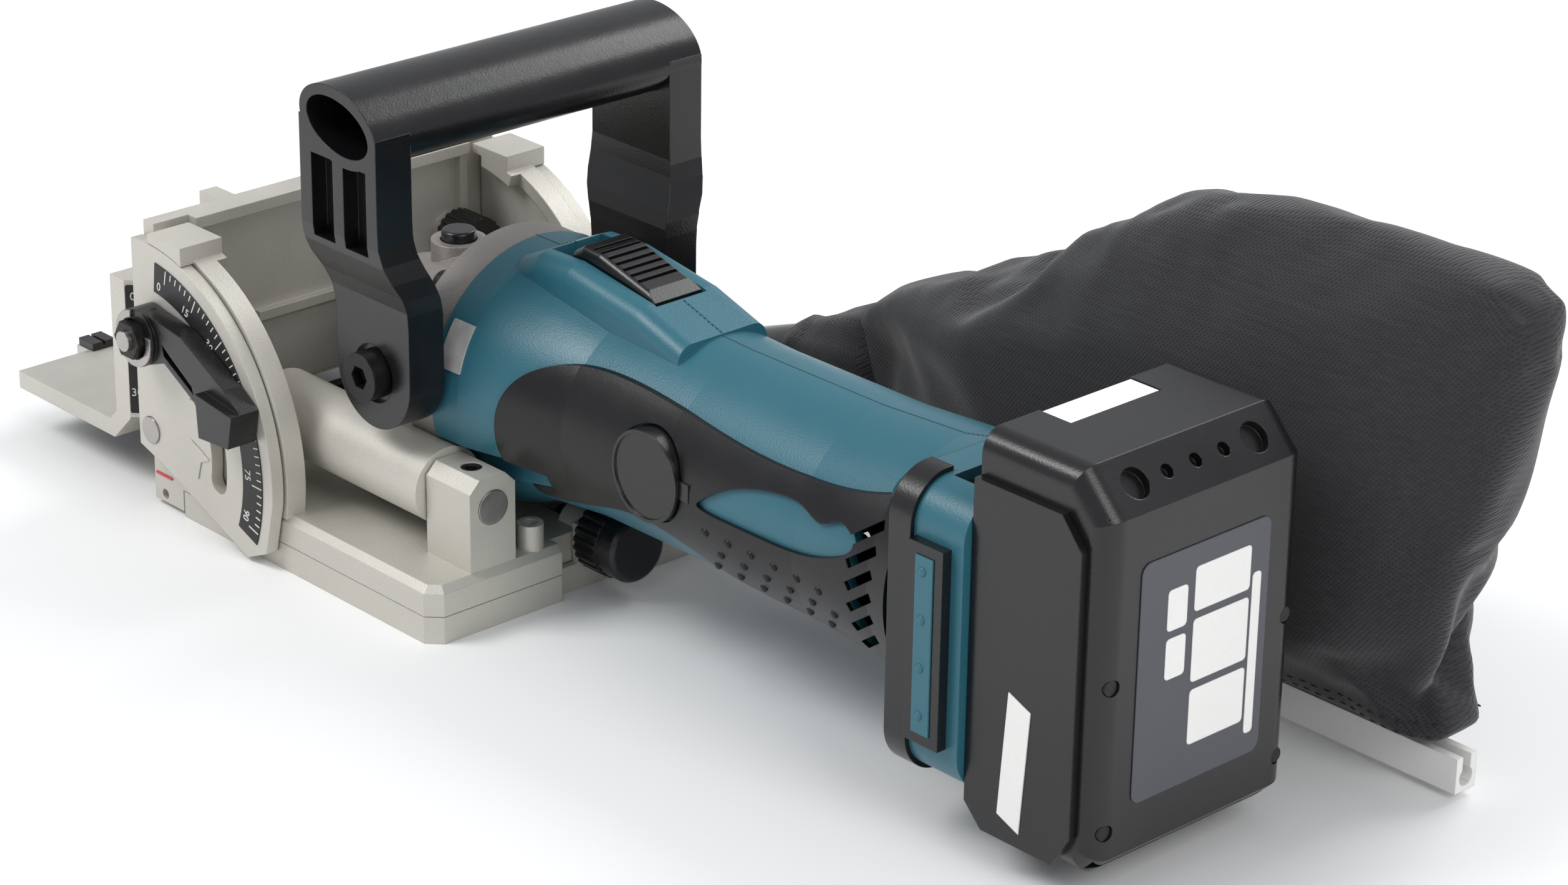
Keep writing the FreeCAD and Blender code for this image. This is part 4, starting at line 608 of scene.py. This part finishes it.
class JOINER_OT_brush_cap_rims(bpy.types.Operator):
    """Rim and latch of the round brush caps"""

    bl_idname = "joiner.brush_cap_rims"
    bl_label = "Brush cap rims"

    def execute(self, context):
        low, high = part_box("brush_caps")
        middle_x, middle_z = (low.x + high.x) / 2, (low.z + high.z) / 2
        radius = (high.x - low.x) / 2
        rim = 1.1 * mm
        latch_reach, latch_half = radius + 3.6 * mm, 2.6 * mm
        latch_root = radius * 0.93
        parts = []
        for side, face in ((-1, low.y), (1, high.y)):
            centre = Vector((middle_x, face, middle_z))
            place = plane_matrix(centre, (-side, 0, 0), (0, 0, 1))
            turns = [2 * math.pi * k / 64 for k in range(65)]
            outer = [(radius * math.cos(t), radius * math.sin(t)) for t in turns]
            inner = [((radius - rim) * math.cos(t), (radius - rim) * math.sin(t)) for t in turns]
            parts.append(from_outline(outer[:64], 0.25 * mm, place @ Matrix.Translation((0, 0, -0.2 * mm))))
            parts.append(ring_mesh(outer[:64], inner[:64], 0.55 * mm, place))
            latch = [(latch_root, -latch_half), (latch_reach, -latch_half), (latch_reach, latch_half),
                     (latch_root, latch_half)]
            parts.append(from_outline([(x * -side, y) for x, y in latch], 0.9 * mm,
                                      place @ Matrix.Translation((0, 0, -1.4 * mm))))
        piece = piece_of(joined(parts), "brush_cap_rims", palette()["black_plastic"], "carriage")
        eased = piece.modifiers.new("eased", "BEVEL")
        eased.width = 0.2 * mm
        eased.segments = 2
        eased.limit_method = "ANGLE"
        return {"FINISHED"}


class JOINER_OT_height_scale(bpy.types.Operator):
    """Black strip with millimetre graduations on the fence's slanted flange"""

    bl_idname = "joiner.height_scale"
    bl_label = "Height scale"

    def execute(self, context):
        sizes = context.scene.joiner_sizes
        thick = sizes.label_thickness
        start, end = at(-11.5, -62, 0), at(-5.9, -55.8, 0)
        across = (end - start).normalized()
        width = (end - start).length
        low, high = 24.5 * mm, 64.5 * mm
        middle = (start + end) / 2 + Vector((0, 0, (low + high) / 2))
        matrix = plane_matrix(middle, across, (0, 0, 1))
        ink = finish("label black", (0.012, 0.012, 0.013), 0.45, 1500, 0.00002)
        piece_of(from_outline(rounded(width - 0.5 * mm, high - low, 0.6 * mm), thick, matrix),
                 "height_label", ink, "height_fence")
        paint = palette()["white_plastic"]
        zero = 61.0 * mm - (low + high) / 2
        ticks = grown(tick_tree(), "height_ticks", {
            "Count": 33, "Step": 1.0 * mm, "Width": sizes.tick_width, "Short": 1.7 * mm, "Long": 3.1 * mm,
            "Every": 5, "Thickness": thick * 0.5, "Material": paint})
        ticks.transform(matrix @ Matrix.Translation((width / 2 - 0.5 * mm, zero, thick)))
        piece_of(ticks, "height_ticks", None, "height_fence")
        figures = []
        for value in (0, 10, 20, 30):
            spot = Matrix.Translation((-1.7 * mm, zero - value * mm, thick * 1.2))
            figures.append(number(str(value), 2.5 * mm, thick * 0.5, matrix @ spot))
        piece_of(joined(figures), "height_numbers", paint, "height_fence")
        return {"FINISHED"}


class JOINER_OT_blade_marks(bpy.types.Operator):
    """Red lines that show the blade's centre height"""

    bl_idname = "joiner.blade_marks"
    bl_label = "Blade marks"

    def execute(self, context):
        red = finish("mark red", context.scene.joiner_colours.mark, 0.4, 1500, 0.00002)
        thick = context.scene.joiner_sizes.label_thickness
        marks = []
        for side in (-1, 1):
            matrix = plane_matrix(at(5.0, side * 62, 10.0), (-side, 0, 0), (0, 0, 1))
            marks.append(from_outline(rounded(8 * mm, 0.8 * mm, 0.2 * mm, 2), thick, matrix))
        piece_of(joined(marks), "blade_marks", red, "base")
        lines = []
        for side in (-1, 1):
            matrix = plane_matrix(at(-73.0, side * 32.5, 20.7), (1, 0, 0), (0, 1, 0))
            lines.append(from_outline(rounded(6 * mm, 0.7 * mm, 0.15 * mm, 2), thick, matrix))
        piece_of(joined(lines), "fence_lines", red, "height_fence")
        return {"FINISHED"}


class JOINER_OT_grip_dots(bpy.types.Operator):
    """Raised dots on the lower part of both side grips, and on the tail bumpers"""

    bl_idname = "joiner.grip_dots"
    bl_label = "Grip dots"

    def execute(self, context):
        sizes = context.scene.joiner_sizes
        tree = stud_tree()
        dot = sizes.grip_dot
        finishes = palette()
        for name, side in (("left", -1), ("right", 1)):
            dots = grown(tree, "grip_dots_" + name, {
                "Target": frame["nodes"]["side_panels"], "Across": 6, "Up": 3, "Pitch": sizes.grip_pitch,
                "Row Gap": 5.4 * mm, "Stagger": 0.5, "First": at(206, side * 60, 41.0),
                "Toward": (0.0, -side, 0.0),
                "Size": (dot, dot * 0.55, dot), "Tilt": -0.02, "Material": finishes["black_rubber"]})
            piece_of(dots, "grip_dots_" + name, None, "carriage")
            studs = grown(tree, "bumper_dots_" + name, {
                "Target": frame["nodes"]["bumper_inlays"], "Across": 1, "Up": 4, "Pitch": 0.0,
                "Row Gap": 13.0 * mm, "Stagger": 0.0, "First": at(298.5, side * 60, 38.0),
                "Toward": (0.0, -side, 0.0), "Size": (dot, dot * 0.5, dot), "Tilt": 0.0,
                "Material": finishes["teal_plastic"]})
            piece_of(studs, "bumper_dots_" + name, None, "carriage")
        return {"FINISHED"}


class JOINER_OT_housing_seam(bpy.types.Operator):
    """Fine bead along the joint of the two housing halves, above and below"""

    bl_idname = "joiner.housing_seam"
    bl_label = "Housing seam"

    def execute(self, context):
        shade = finish("seam shadow", [c * 0.35 for c in context.scene.joiner_colours.teal], 0.5, 1500,
                       0.00002)
        beads = []
        for start, way in ((150, -1), (0, 1)):
            beads.append(grown(stud_tree(), "housing_seam", {
                "Target": frame["nodes"]["motor_housing_left"], "Across": 118, "Up": 1, "Pitch": 1.6 * mm,
                "Row Gap": 0.0, "Stagger": 0.0, "First": at(101.5, -0.04, start),
                "Toward": (0.0, 0.0, float(way)),
                "Size": (1.3 * mm, 0.2 * mm, 0.07 * mm), "Tilt": 0.0, "Material": shade}))
        piece_of(joined(beads), "housing_seam", shade, "carriage")
        return {"FINISHED"}


class JOINER_OT_battery_label(bpy.types.Operator):
    """Blank rating label on the battery's rear and a stripe on each side"""

    bl_idname = "joiner.battery_label"
    bl_label = "Battery label"

    def execute(self, context):
        thick = context.scene.joiner_sizes.label_thickness
        c = context.scene.joiner_colours
        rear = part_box("battery_case")[1].x
        grey = finish("label grey", c.label, 0.33, 1500, 0.00001, vary=0.04)
        paint = palette()["white_plastic"]
        matrix = plane_matrix(Vector((rear, 0, 59 * mm)), (0, 1, 0), (0, 0, 1))
        piece_of(from_outline(rounded(46 * mm, 64 * mm, 3 * mm), thick, matrix), "battery_label", grey,
                 "battery")
        blocks = []
        for x, y, width, height in ((6, 20, 20, 12), (6, 3.5, 20, 17), (6, -14.5, 20, 15),
                                    (-10, 17, 7, 11), (-10, 4, 7, 11), (18.5, -4, 3.2, 44)):
            spot = matrix @ Matrix.Translation((x * mm, y * mm, thick))
            blocks.append(from_outline(rounded(width * mm, height * mm, 1.2 * mm), thick * 0.5, spot))
        piece_of(joined(blocks), "battery_label_blocks", paint, "battery")
        stripes = []
        for side, edge in ((-1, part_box("battery_panels")[0].y), (1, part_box("battery_panels")[1].y)):
            place = plane_matrix(Vector((at(326, 0, 0).x, edge, 34 * mm)), (-side, 0, 0), (0, 0, 1))
            outline = [(-5 * mm, -16 * mm), (2.5 * mm, -19 * mm), (5 * mm, 15 * mm), (-2.5 * mm, 18 * mm)]
            stripes.append(from_outline([(x * -side, y) for x, y in outline][::-side], thick, place))
        piece_of(joined(stripes), "battery_stripes", paint, "battery")
        return {"FINISHED"}


def bag_material(cloth):
    material, tree, shader = start_material("bag twill", 0.82, sheen=0.25)
    shader.inputs["Sheen Roughness"].default_value = 0.45
    place = add(tree, "ShaderNodeTexCoord")
    weave = add(tree, "ShaderNodeGroup", node_tree=twill_group())
    tree.links.new(place.outputs["Object"], weave.inputs["Vector"])
    weave.inputs["Size"].default_value = 330.0
    dark = [c * 0.45 for c in cloth]
    light = [c * 1.5 for c in cloth]
    tree.links.new(tinted(tree, weave.outputs["Tone"], dark, light, 0.1, 0.75), shader.inputs["Base Color"])
    relief = add(tree, "ShaderNodeBump",
                 {"Height": weave.outputs["Height"], "Distance": 0.00018, "Strength": 0.8})
    tree.links.new(relief.outputs["Normal"], shader.inputs["Normal"])
    return material


def bag_blank(voxel):
    """Flat filled pouch that the simulation blows up."""
    mouth = [(151, 67), (160, 78)]
    outline = mouth + [(188, 100), (214, 117), (240, 133), (262, 143), (285, 147.5), (320, 148.5),
                       (352, 149.5),
                       (368, 148), (377, 142), (380, 132), (377.5, 100), (373.5, 60), (369, 22),
                       (366, 13.5),
                       (192, 13.5), (172, 32), (158, 42)]
    half = 11.0
    bm = bmesh.new()
    for y in (-half, half):
        bm.faces.new([bm.verts.new(at(x, 83.0 + y, z)) for x, z in outline])
    bmesh.ops.bridge_loops(bm, edges=[e for e in bm.edges])
    bmesh.ops.recalc_face_normals(bm, faces=bm.faces)
    mesh = bpy.data.meshes.new("bag")
    bm.to_mesh(mesh)
    bm.free()
    item = bpy.data.objects.new("bag_cloth", mesh)
    bpy.context.scene.collection.objects.link(item)
    remesh = item.modifiers.new("even", "REMESH")
    remesh.mode = "VOXEL"
    remesh.voxel_size = voxel
    even = bpy.data.meshes.new_from_object(item.evaluated_get(bpy.context.evaluated_depsgraph_get()))
    item.modifiers.clear()
    item.data = even
    return item


def bag_neck():
    """Gathered sleeve of cloth from the nozzle's end into the bag."""
    rise = math.radians(20.0)
    along = Vector((math.cos(rise), 0.0, math.sin(rise)))
    up = Vector((-along.z, 0.0, along.x))
    start = at(88.0, 83.0, 28.0)
    rings = ((40, 14.4), (42, 15.4), (46, 15.9), (49, 15.2), (53, 15.9), (60, 16.8), (70, 17.6), (78, 16.0),
             (79, 3.0))
    count = 56
    bm = bmesh.new()
    loops = []
    for step, (reach, radius) in enumerate(rings):
        loop = []
        for k in range(count):
            turn = 2 * math.pi * k / count
            fold = 1 + (0.035 * math.sin(9 * turn + step) if 1 < step < 8 else 0.0)
            offset = (up * math.cos(turn) + Vector((0, 1, 0)) * math.sin(turn)) * radius * fold * mm
            loop.append(bm.verts.new(start + along * reach * mm + offset))
        loops.append(loop)
    for first, second in zip(loops, loops[1:]):
        for k in range(count):
            bm.faces.new((first[k], first[(k + 1) % count], second[(k + 1) % count], second[k]))
    bm.faces.new(loops[0])
    bm.faces.new(loops[-1])
    bmesh.ops.recalc_face_normals(bm, faces=bm.faces)
    for face in bm.faces:
        face.smooth = True
    mesh = bpy.data.meshes.new("neck")
    bm.to_mesh(mesh)
    bm.free()
    return mesh


def blow_up(item, frames, cap):
    """Cloth simulation under inner pressure, its result applied to the mesh."""
    scene = bpy.context.scene
    rest = [v.co.copy() for v in item.data.vertices]
    held = item.vertex_groups.new(name="held")
    rail = at(0, 0, 17).z
    mouth = at(160, 83, 58)
    fixed = [v.index for v in item.data.vertices if v.co.z < rail or (v.co - mouth).length < 17 * mm]
    held.add(fixed, 1.0, "REPLACE")
    cloth = item.modifiers.new("cloth", "CLOTH")
    values = cloth.settings
    values.quality = 6
    values.mass = 0.25
    values.tension_stiffness = 14
    values.compression_stiffness = 10
    values.shear_stiffness = 6
    values.bending_stiffness = 0.35
    values.shrink_min = -0.05
    values.vertex_group_mass = "held"
    values.use_pressure = True
    values.uniform_pressure_force = 4.2
    values.effector_weights.gravity = 0.0
    cloth.collision_settings.use_collision = False
    cloth.collision_settings.use_self_collision = False
    cloth.point_cache.frame_end = frames
    for step in range(1, frames + 1):
        scene.frame_set(step)
    shape = item.evaluated_get(bpy.context.evaluated_depsgraph_get()).data
    moved = [v.co.copy() for v in shape.vertices]
    item.modifiers.clear()
    for vertex, old, new in zip(item.data.vertices, rest, moved):
        shift = new - old
        if shift.length > cap:
            shift = shift.normalized() * cap
        vertex.co = old + shift
    scene.frame_set(1)
    item.vertex_groups.clear()


class JOINER_OT_return_springs(bpy.types.Operator):
    """Coil springs round the rods, between rod collar and carriage, built at one fixed length"""

    bl_idname = "joiner.return_springs"
    bl_label = "Return springs"

    def execute(self, context):
        sizes = context.scene.joiner_sizes
        low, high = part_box("return_springs")
        wire = 0.65 * mm
        radius = (high.z - low.z) / 2 - wire
        offset = high.y - radius - wire
        middle_z = (low.z + high.z) / 2
        turns, per_turn = sizes.spring_turns, 24
        meshes = []
        for side in (-1, 1):
            curve = bpy.data.curves.new("coil", "CURVE")
            curve.dimensions = "3D"
            curve.bevel_depth = wire
            curve.bevel_resolution = 2
            curve.use_fill_caps = True
            spline = curve.splines.new("POLY")
            spline.points.add(turns * per_turn)
            for k, point in enumerate(spline.points):
                angle = 2 * math.pi * k / per_turn
                x = low.x + wire + (high.x - low.x - 2 * wire) * k / (turns * per_turn)
                point.co = (x, side * offset + radius * math.cos(angle),
                            middle_z + radius * math.sin(angle), 1)
            coil = bpy.data.objects.new("coil", curve)
            context.scene.collection.objects.link(coil)
            shown = coil.evaluated_get(context.evaluated_depsgraph_get())
            meshes.append(bpy.data.meshes.new_from_object(shown))
            bpy.data.objects.remove(coil)
        mesh = joined(meshes)
        for polygon in mesh.polygons:
            polygon.use_smooth = True
        mesh.materials.clear()
        mesh.materials.append(palette()["steel"])
        springs = bpy.data.objects.new("return_spring_coils", mesh)
        context.scene.collection.objects.link(springs)
        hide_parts("return_springs")
        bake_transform(springs)
        return {"FINISHED"}


class JOINER_OT_dust_bag(bpy.types.Operator):
    """Filled cloth bag on the dust nozzle, with its stitched hem"""

    bl_idname = "joiner.dust_bag"
    bl_label = "Dust bag"

    def execute(self, context):
        sizes = context.scene.joiner_sizes
        item = bag_blank(sizes.bag_voxel)
        blow_up(item, sizes.bag_frames, 20 * mm)
        relax = item.modifiers.new("relax", "SMOOTH")
        relax.iterations = 2
        relax.factor = 0.4
        finer = item.modifiers.new("finer", "SUBSURF")
        finer.levels = finer.render_levels = 1
        mesh = bpy.data.meshes.new_from_object(item.evaluated_get(context.evaluated_depsgraph_get()))
        bpy.data.objects.remove(item)
        for polygon in mesh.polygons:
            polygon.use_smooth = True
        fabric = bag_material(context.scene.joiner_colours.cloth)
        bag = piece_of(mesh, "dust_bag_cloth", fabric, "dust_bag")
        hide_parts("dust_bag")
        piece_of(bag_neck(), "bag_neck", fabric, "dust_bag")
        thread = finish("bag thread", (0.02, 0.02, 0.022), 0.7, 1500, 0.00004)
        rows = []
        for z in (17.5, 20.5):
            for side in (-1, 1):
                rows.append(grown(stud_tree(), "stitches", {
                    "Target": bag, "Across": 44, "Up": 1, "Pitch": 3.9 * mm, "Row Gap": 0.0, "Stagger": 0.0,
                    "First": at(197, 83 + side * 60, z), "Toward": (0.0, -side, 0.0),
                    "Size": (sizes.stitch_length / 2, 0.35 * mm, 0.32 * mm), "Tilt": 0.0,
                    "Material": thread}))
        piece_of(joined(rows), "bag_stitches", thread, "dust_bag")
        return {"FINISHED"}


class JOINER_OT_stage(bpy.types.Operator):
    """Pale floor, soft light and the camera"""

    bl_idname = "joiner.stage"
    bl_label = "Stage"

    def execute(self, context):
        scene = context.scene
        bm = bmesh.new()
        bmesh.ops.create_grid(bm, x_segments=1, y_segments=1, size=6.0)
        mesh = bpy.data.meshes.new("floor")
        bm.to_mesh(mesh)
        bm.free()
        floor = bpy.data.objects.new("floor", mesh)
        floor.location.z = cad_box[0][2]
        scene.collection.objects.link(floor)
        material, tree, shader = start_material("floor white", 0.6)
        place = add(tree, "ShaderNodeTexCoord")
        cloud = add(tree, "ShaderNodeTexNoise", {"Vector": place.outputs["Object"], "Scale": 2.0})
        tree.links.new(tinted(tree, cloud.outputs["Fac"], (0.86, 0.86, 0.86), (0.88, 0.88, 0.88)),
                       shader.inputs["Base Color"])
        mesh.materials.append(material)
        world = bpy.data.worlds.new("studio")
        world.use_nodes = True
        world.node_tree.nodes["Background"].inputs["Color"].default_value = (0.95, 0.97, 1.0, 1.0)
        world.node_tree.nodes["Background"].inputs["Strength"].default_value = 0.55
        scene.world = world
        scene.view_settings.view_transform = "Standard"
        for name, place, size, power in (("key", (-0.5, -0.9, 1.3), 0.7, 15.0),
                                         ("fill", (1.3, -0.2, 0.9), 0.7, 7.0),
                                         ("back", (0.1, 1.2, 1.0), 0.9, 12.0)):
            data = bpy.data.lights.new(name, "AREA")
            data.size = size
            data.energy = power
            lamp = bpy.data.objects.new(name, data)
            lamp.location = place
            lamp.rotation_euler = (Vector(place) - at(170, 0, 50)).to_track_quat("Z", "Y").to_euler()
            scene.collection.objects.link(lamp)
        data = bpy.data.cameras.new("camera")
        data.sensor_width = 36.0
        data.lens = 99.1
        data.clip_end = 50.0
        camera = bpy.data.objects.new("camera", data)
        azimuth, elevation, roll = (math.radians(a) for a in (46.902, 23.378, 0.8905))
        back = Vector((math.sin(azimuth) * math.cos(elevation), -math.cos(azimuth) * math.cos(elevation),
                       math.sin(elevation)))
        right = Vector((math.cos(azimuth), math.sin(azimuth), 0.0))
        up = back.cross(right)
        matrix = Matrix((right * math.cos(roll) + up * math.sin(roll),
                         up * math.cos(roll) - right * math.sin(roll), back)).transposed().to_4x4()
        matrix.translation = at(967.4, -715.8, 520.3)
        camera.matrix_world = matrix
        scene.collection.objects.link(camera)
        scene.camera = camera
        return {"FINISHED"}


steps = (JOINER_OT_finishes, JOINER_OT_guide_details, JOINER_OT_brush_cap_rims, JOINER_OT_angle_scale,
         JOINER_OT_height_scale, JOINER_OT_blade_marks,
         JOINER_OT_grip_dots, JOINER_OT_housing_seam, JOINER_OT_battery_label, JOINER_OT_return_springs,
         JOINER_OT_dust_bag, JOINER_OT_stage)


class JOINER_PT_panel(bpy.types.Panel):
    bl_label = "Biscuit joiner"
    bl_idname = "JOINER_PT_panel"
    bl_space_type = "VIEW_3D"
    bl_region_type = "UI"
    bl_category = "Joiner"

    def draw(self, context):
        for step in steps:
            self.layout.operator(step.bl_idname)


classes = (JoinerSizes, JoinerColours, *steps, JOINER_PT_panel)


def register():
    for item in classes:
        bpy.utils.register_class(item)
    bpy.types.Scene.joiner_sizes = PointerProperty(type=JoinerSizes)
    bpy.types.Scene.joiner_colours = PointerProperty(type=JoinerColours)


def unregister():
    del bpy.types.Scene.joiner_colours
    del bpy.types.Scene.joiner_sizes
    for item in reversed(classes):
        bpy.utils.unregister_class(item)


def main():
    register()
    for step in steps:
        area, name = step.bl_idname.split(".")
        getattr(getattr(bpy.ops, area), name)()
    bpy.context.view_layer.update()


if __name__ == "__main__":
    main()
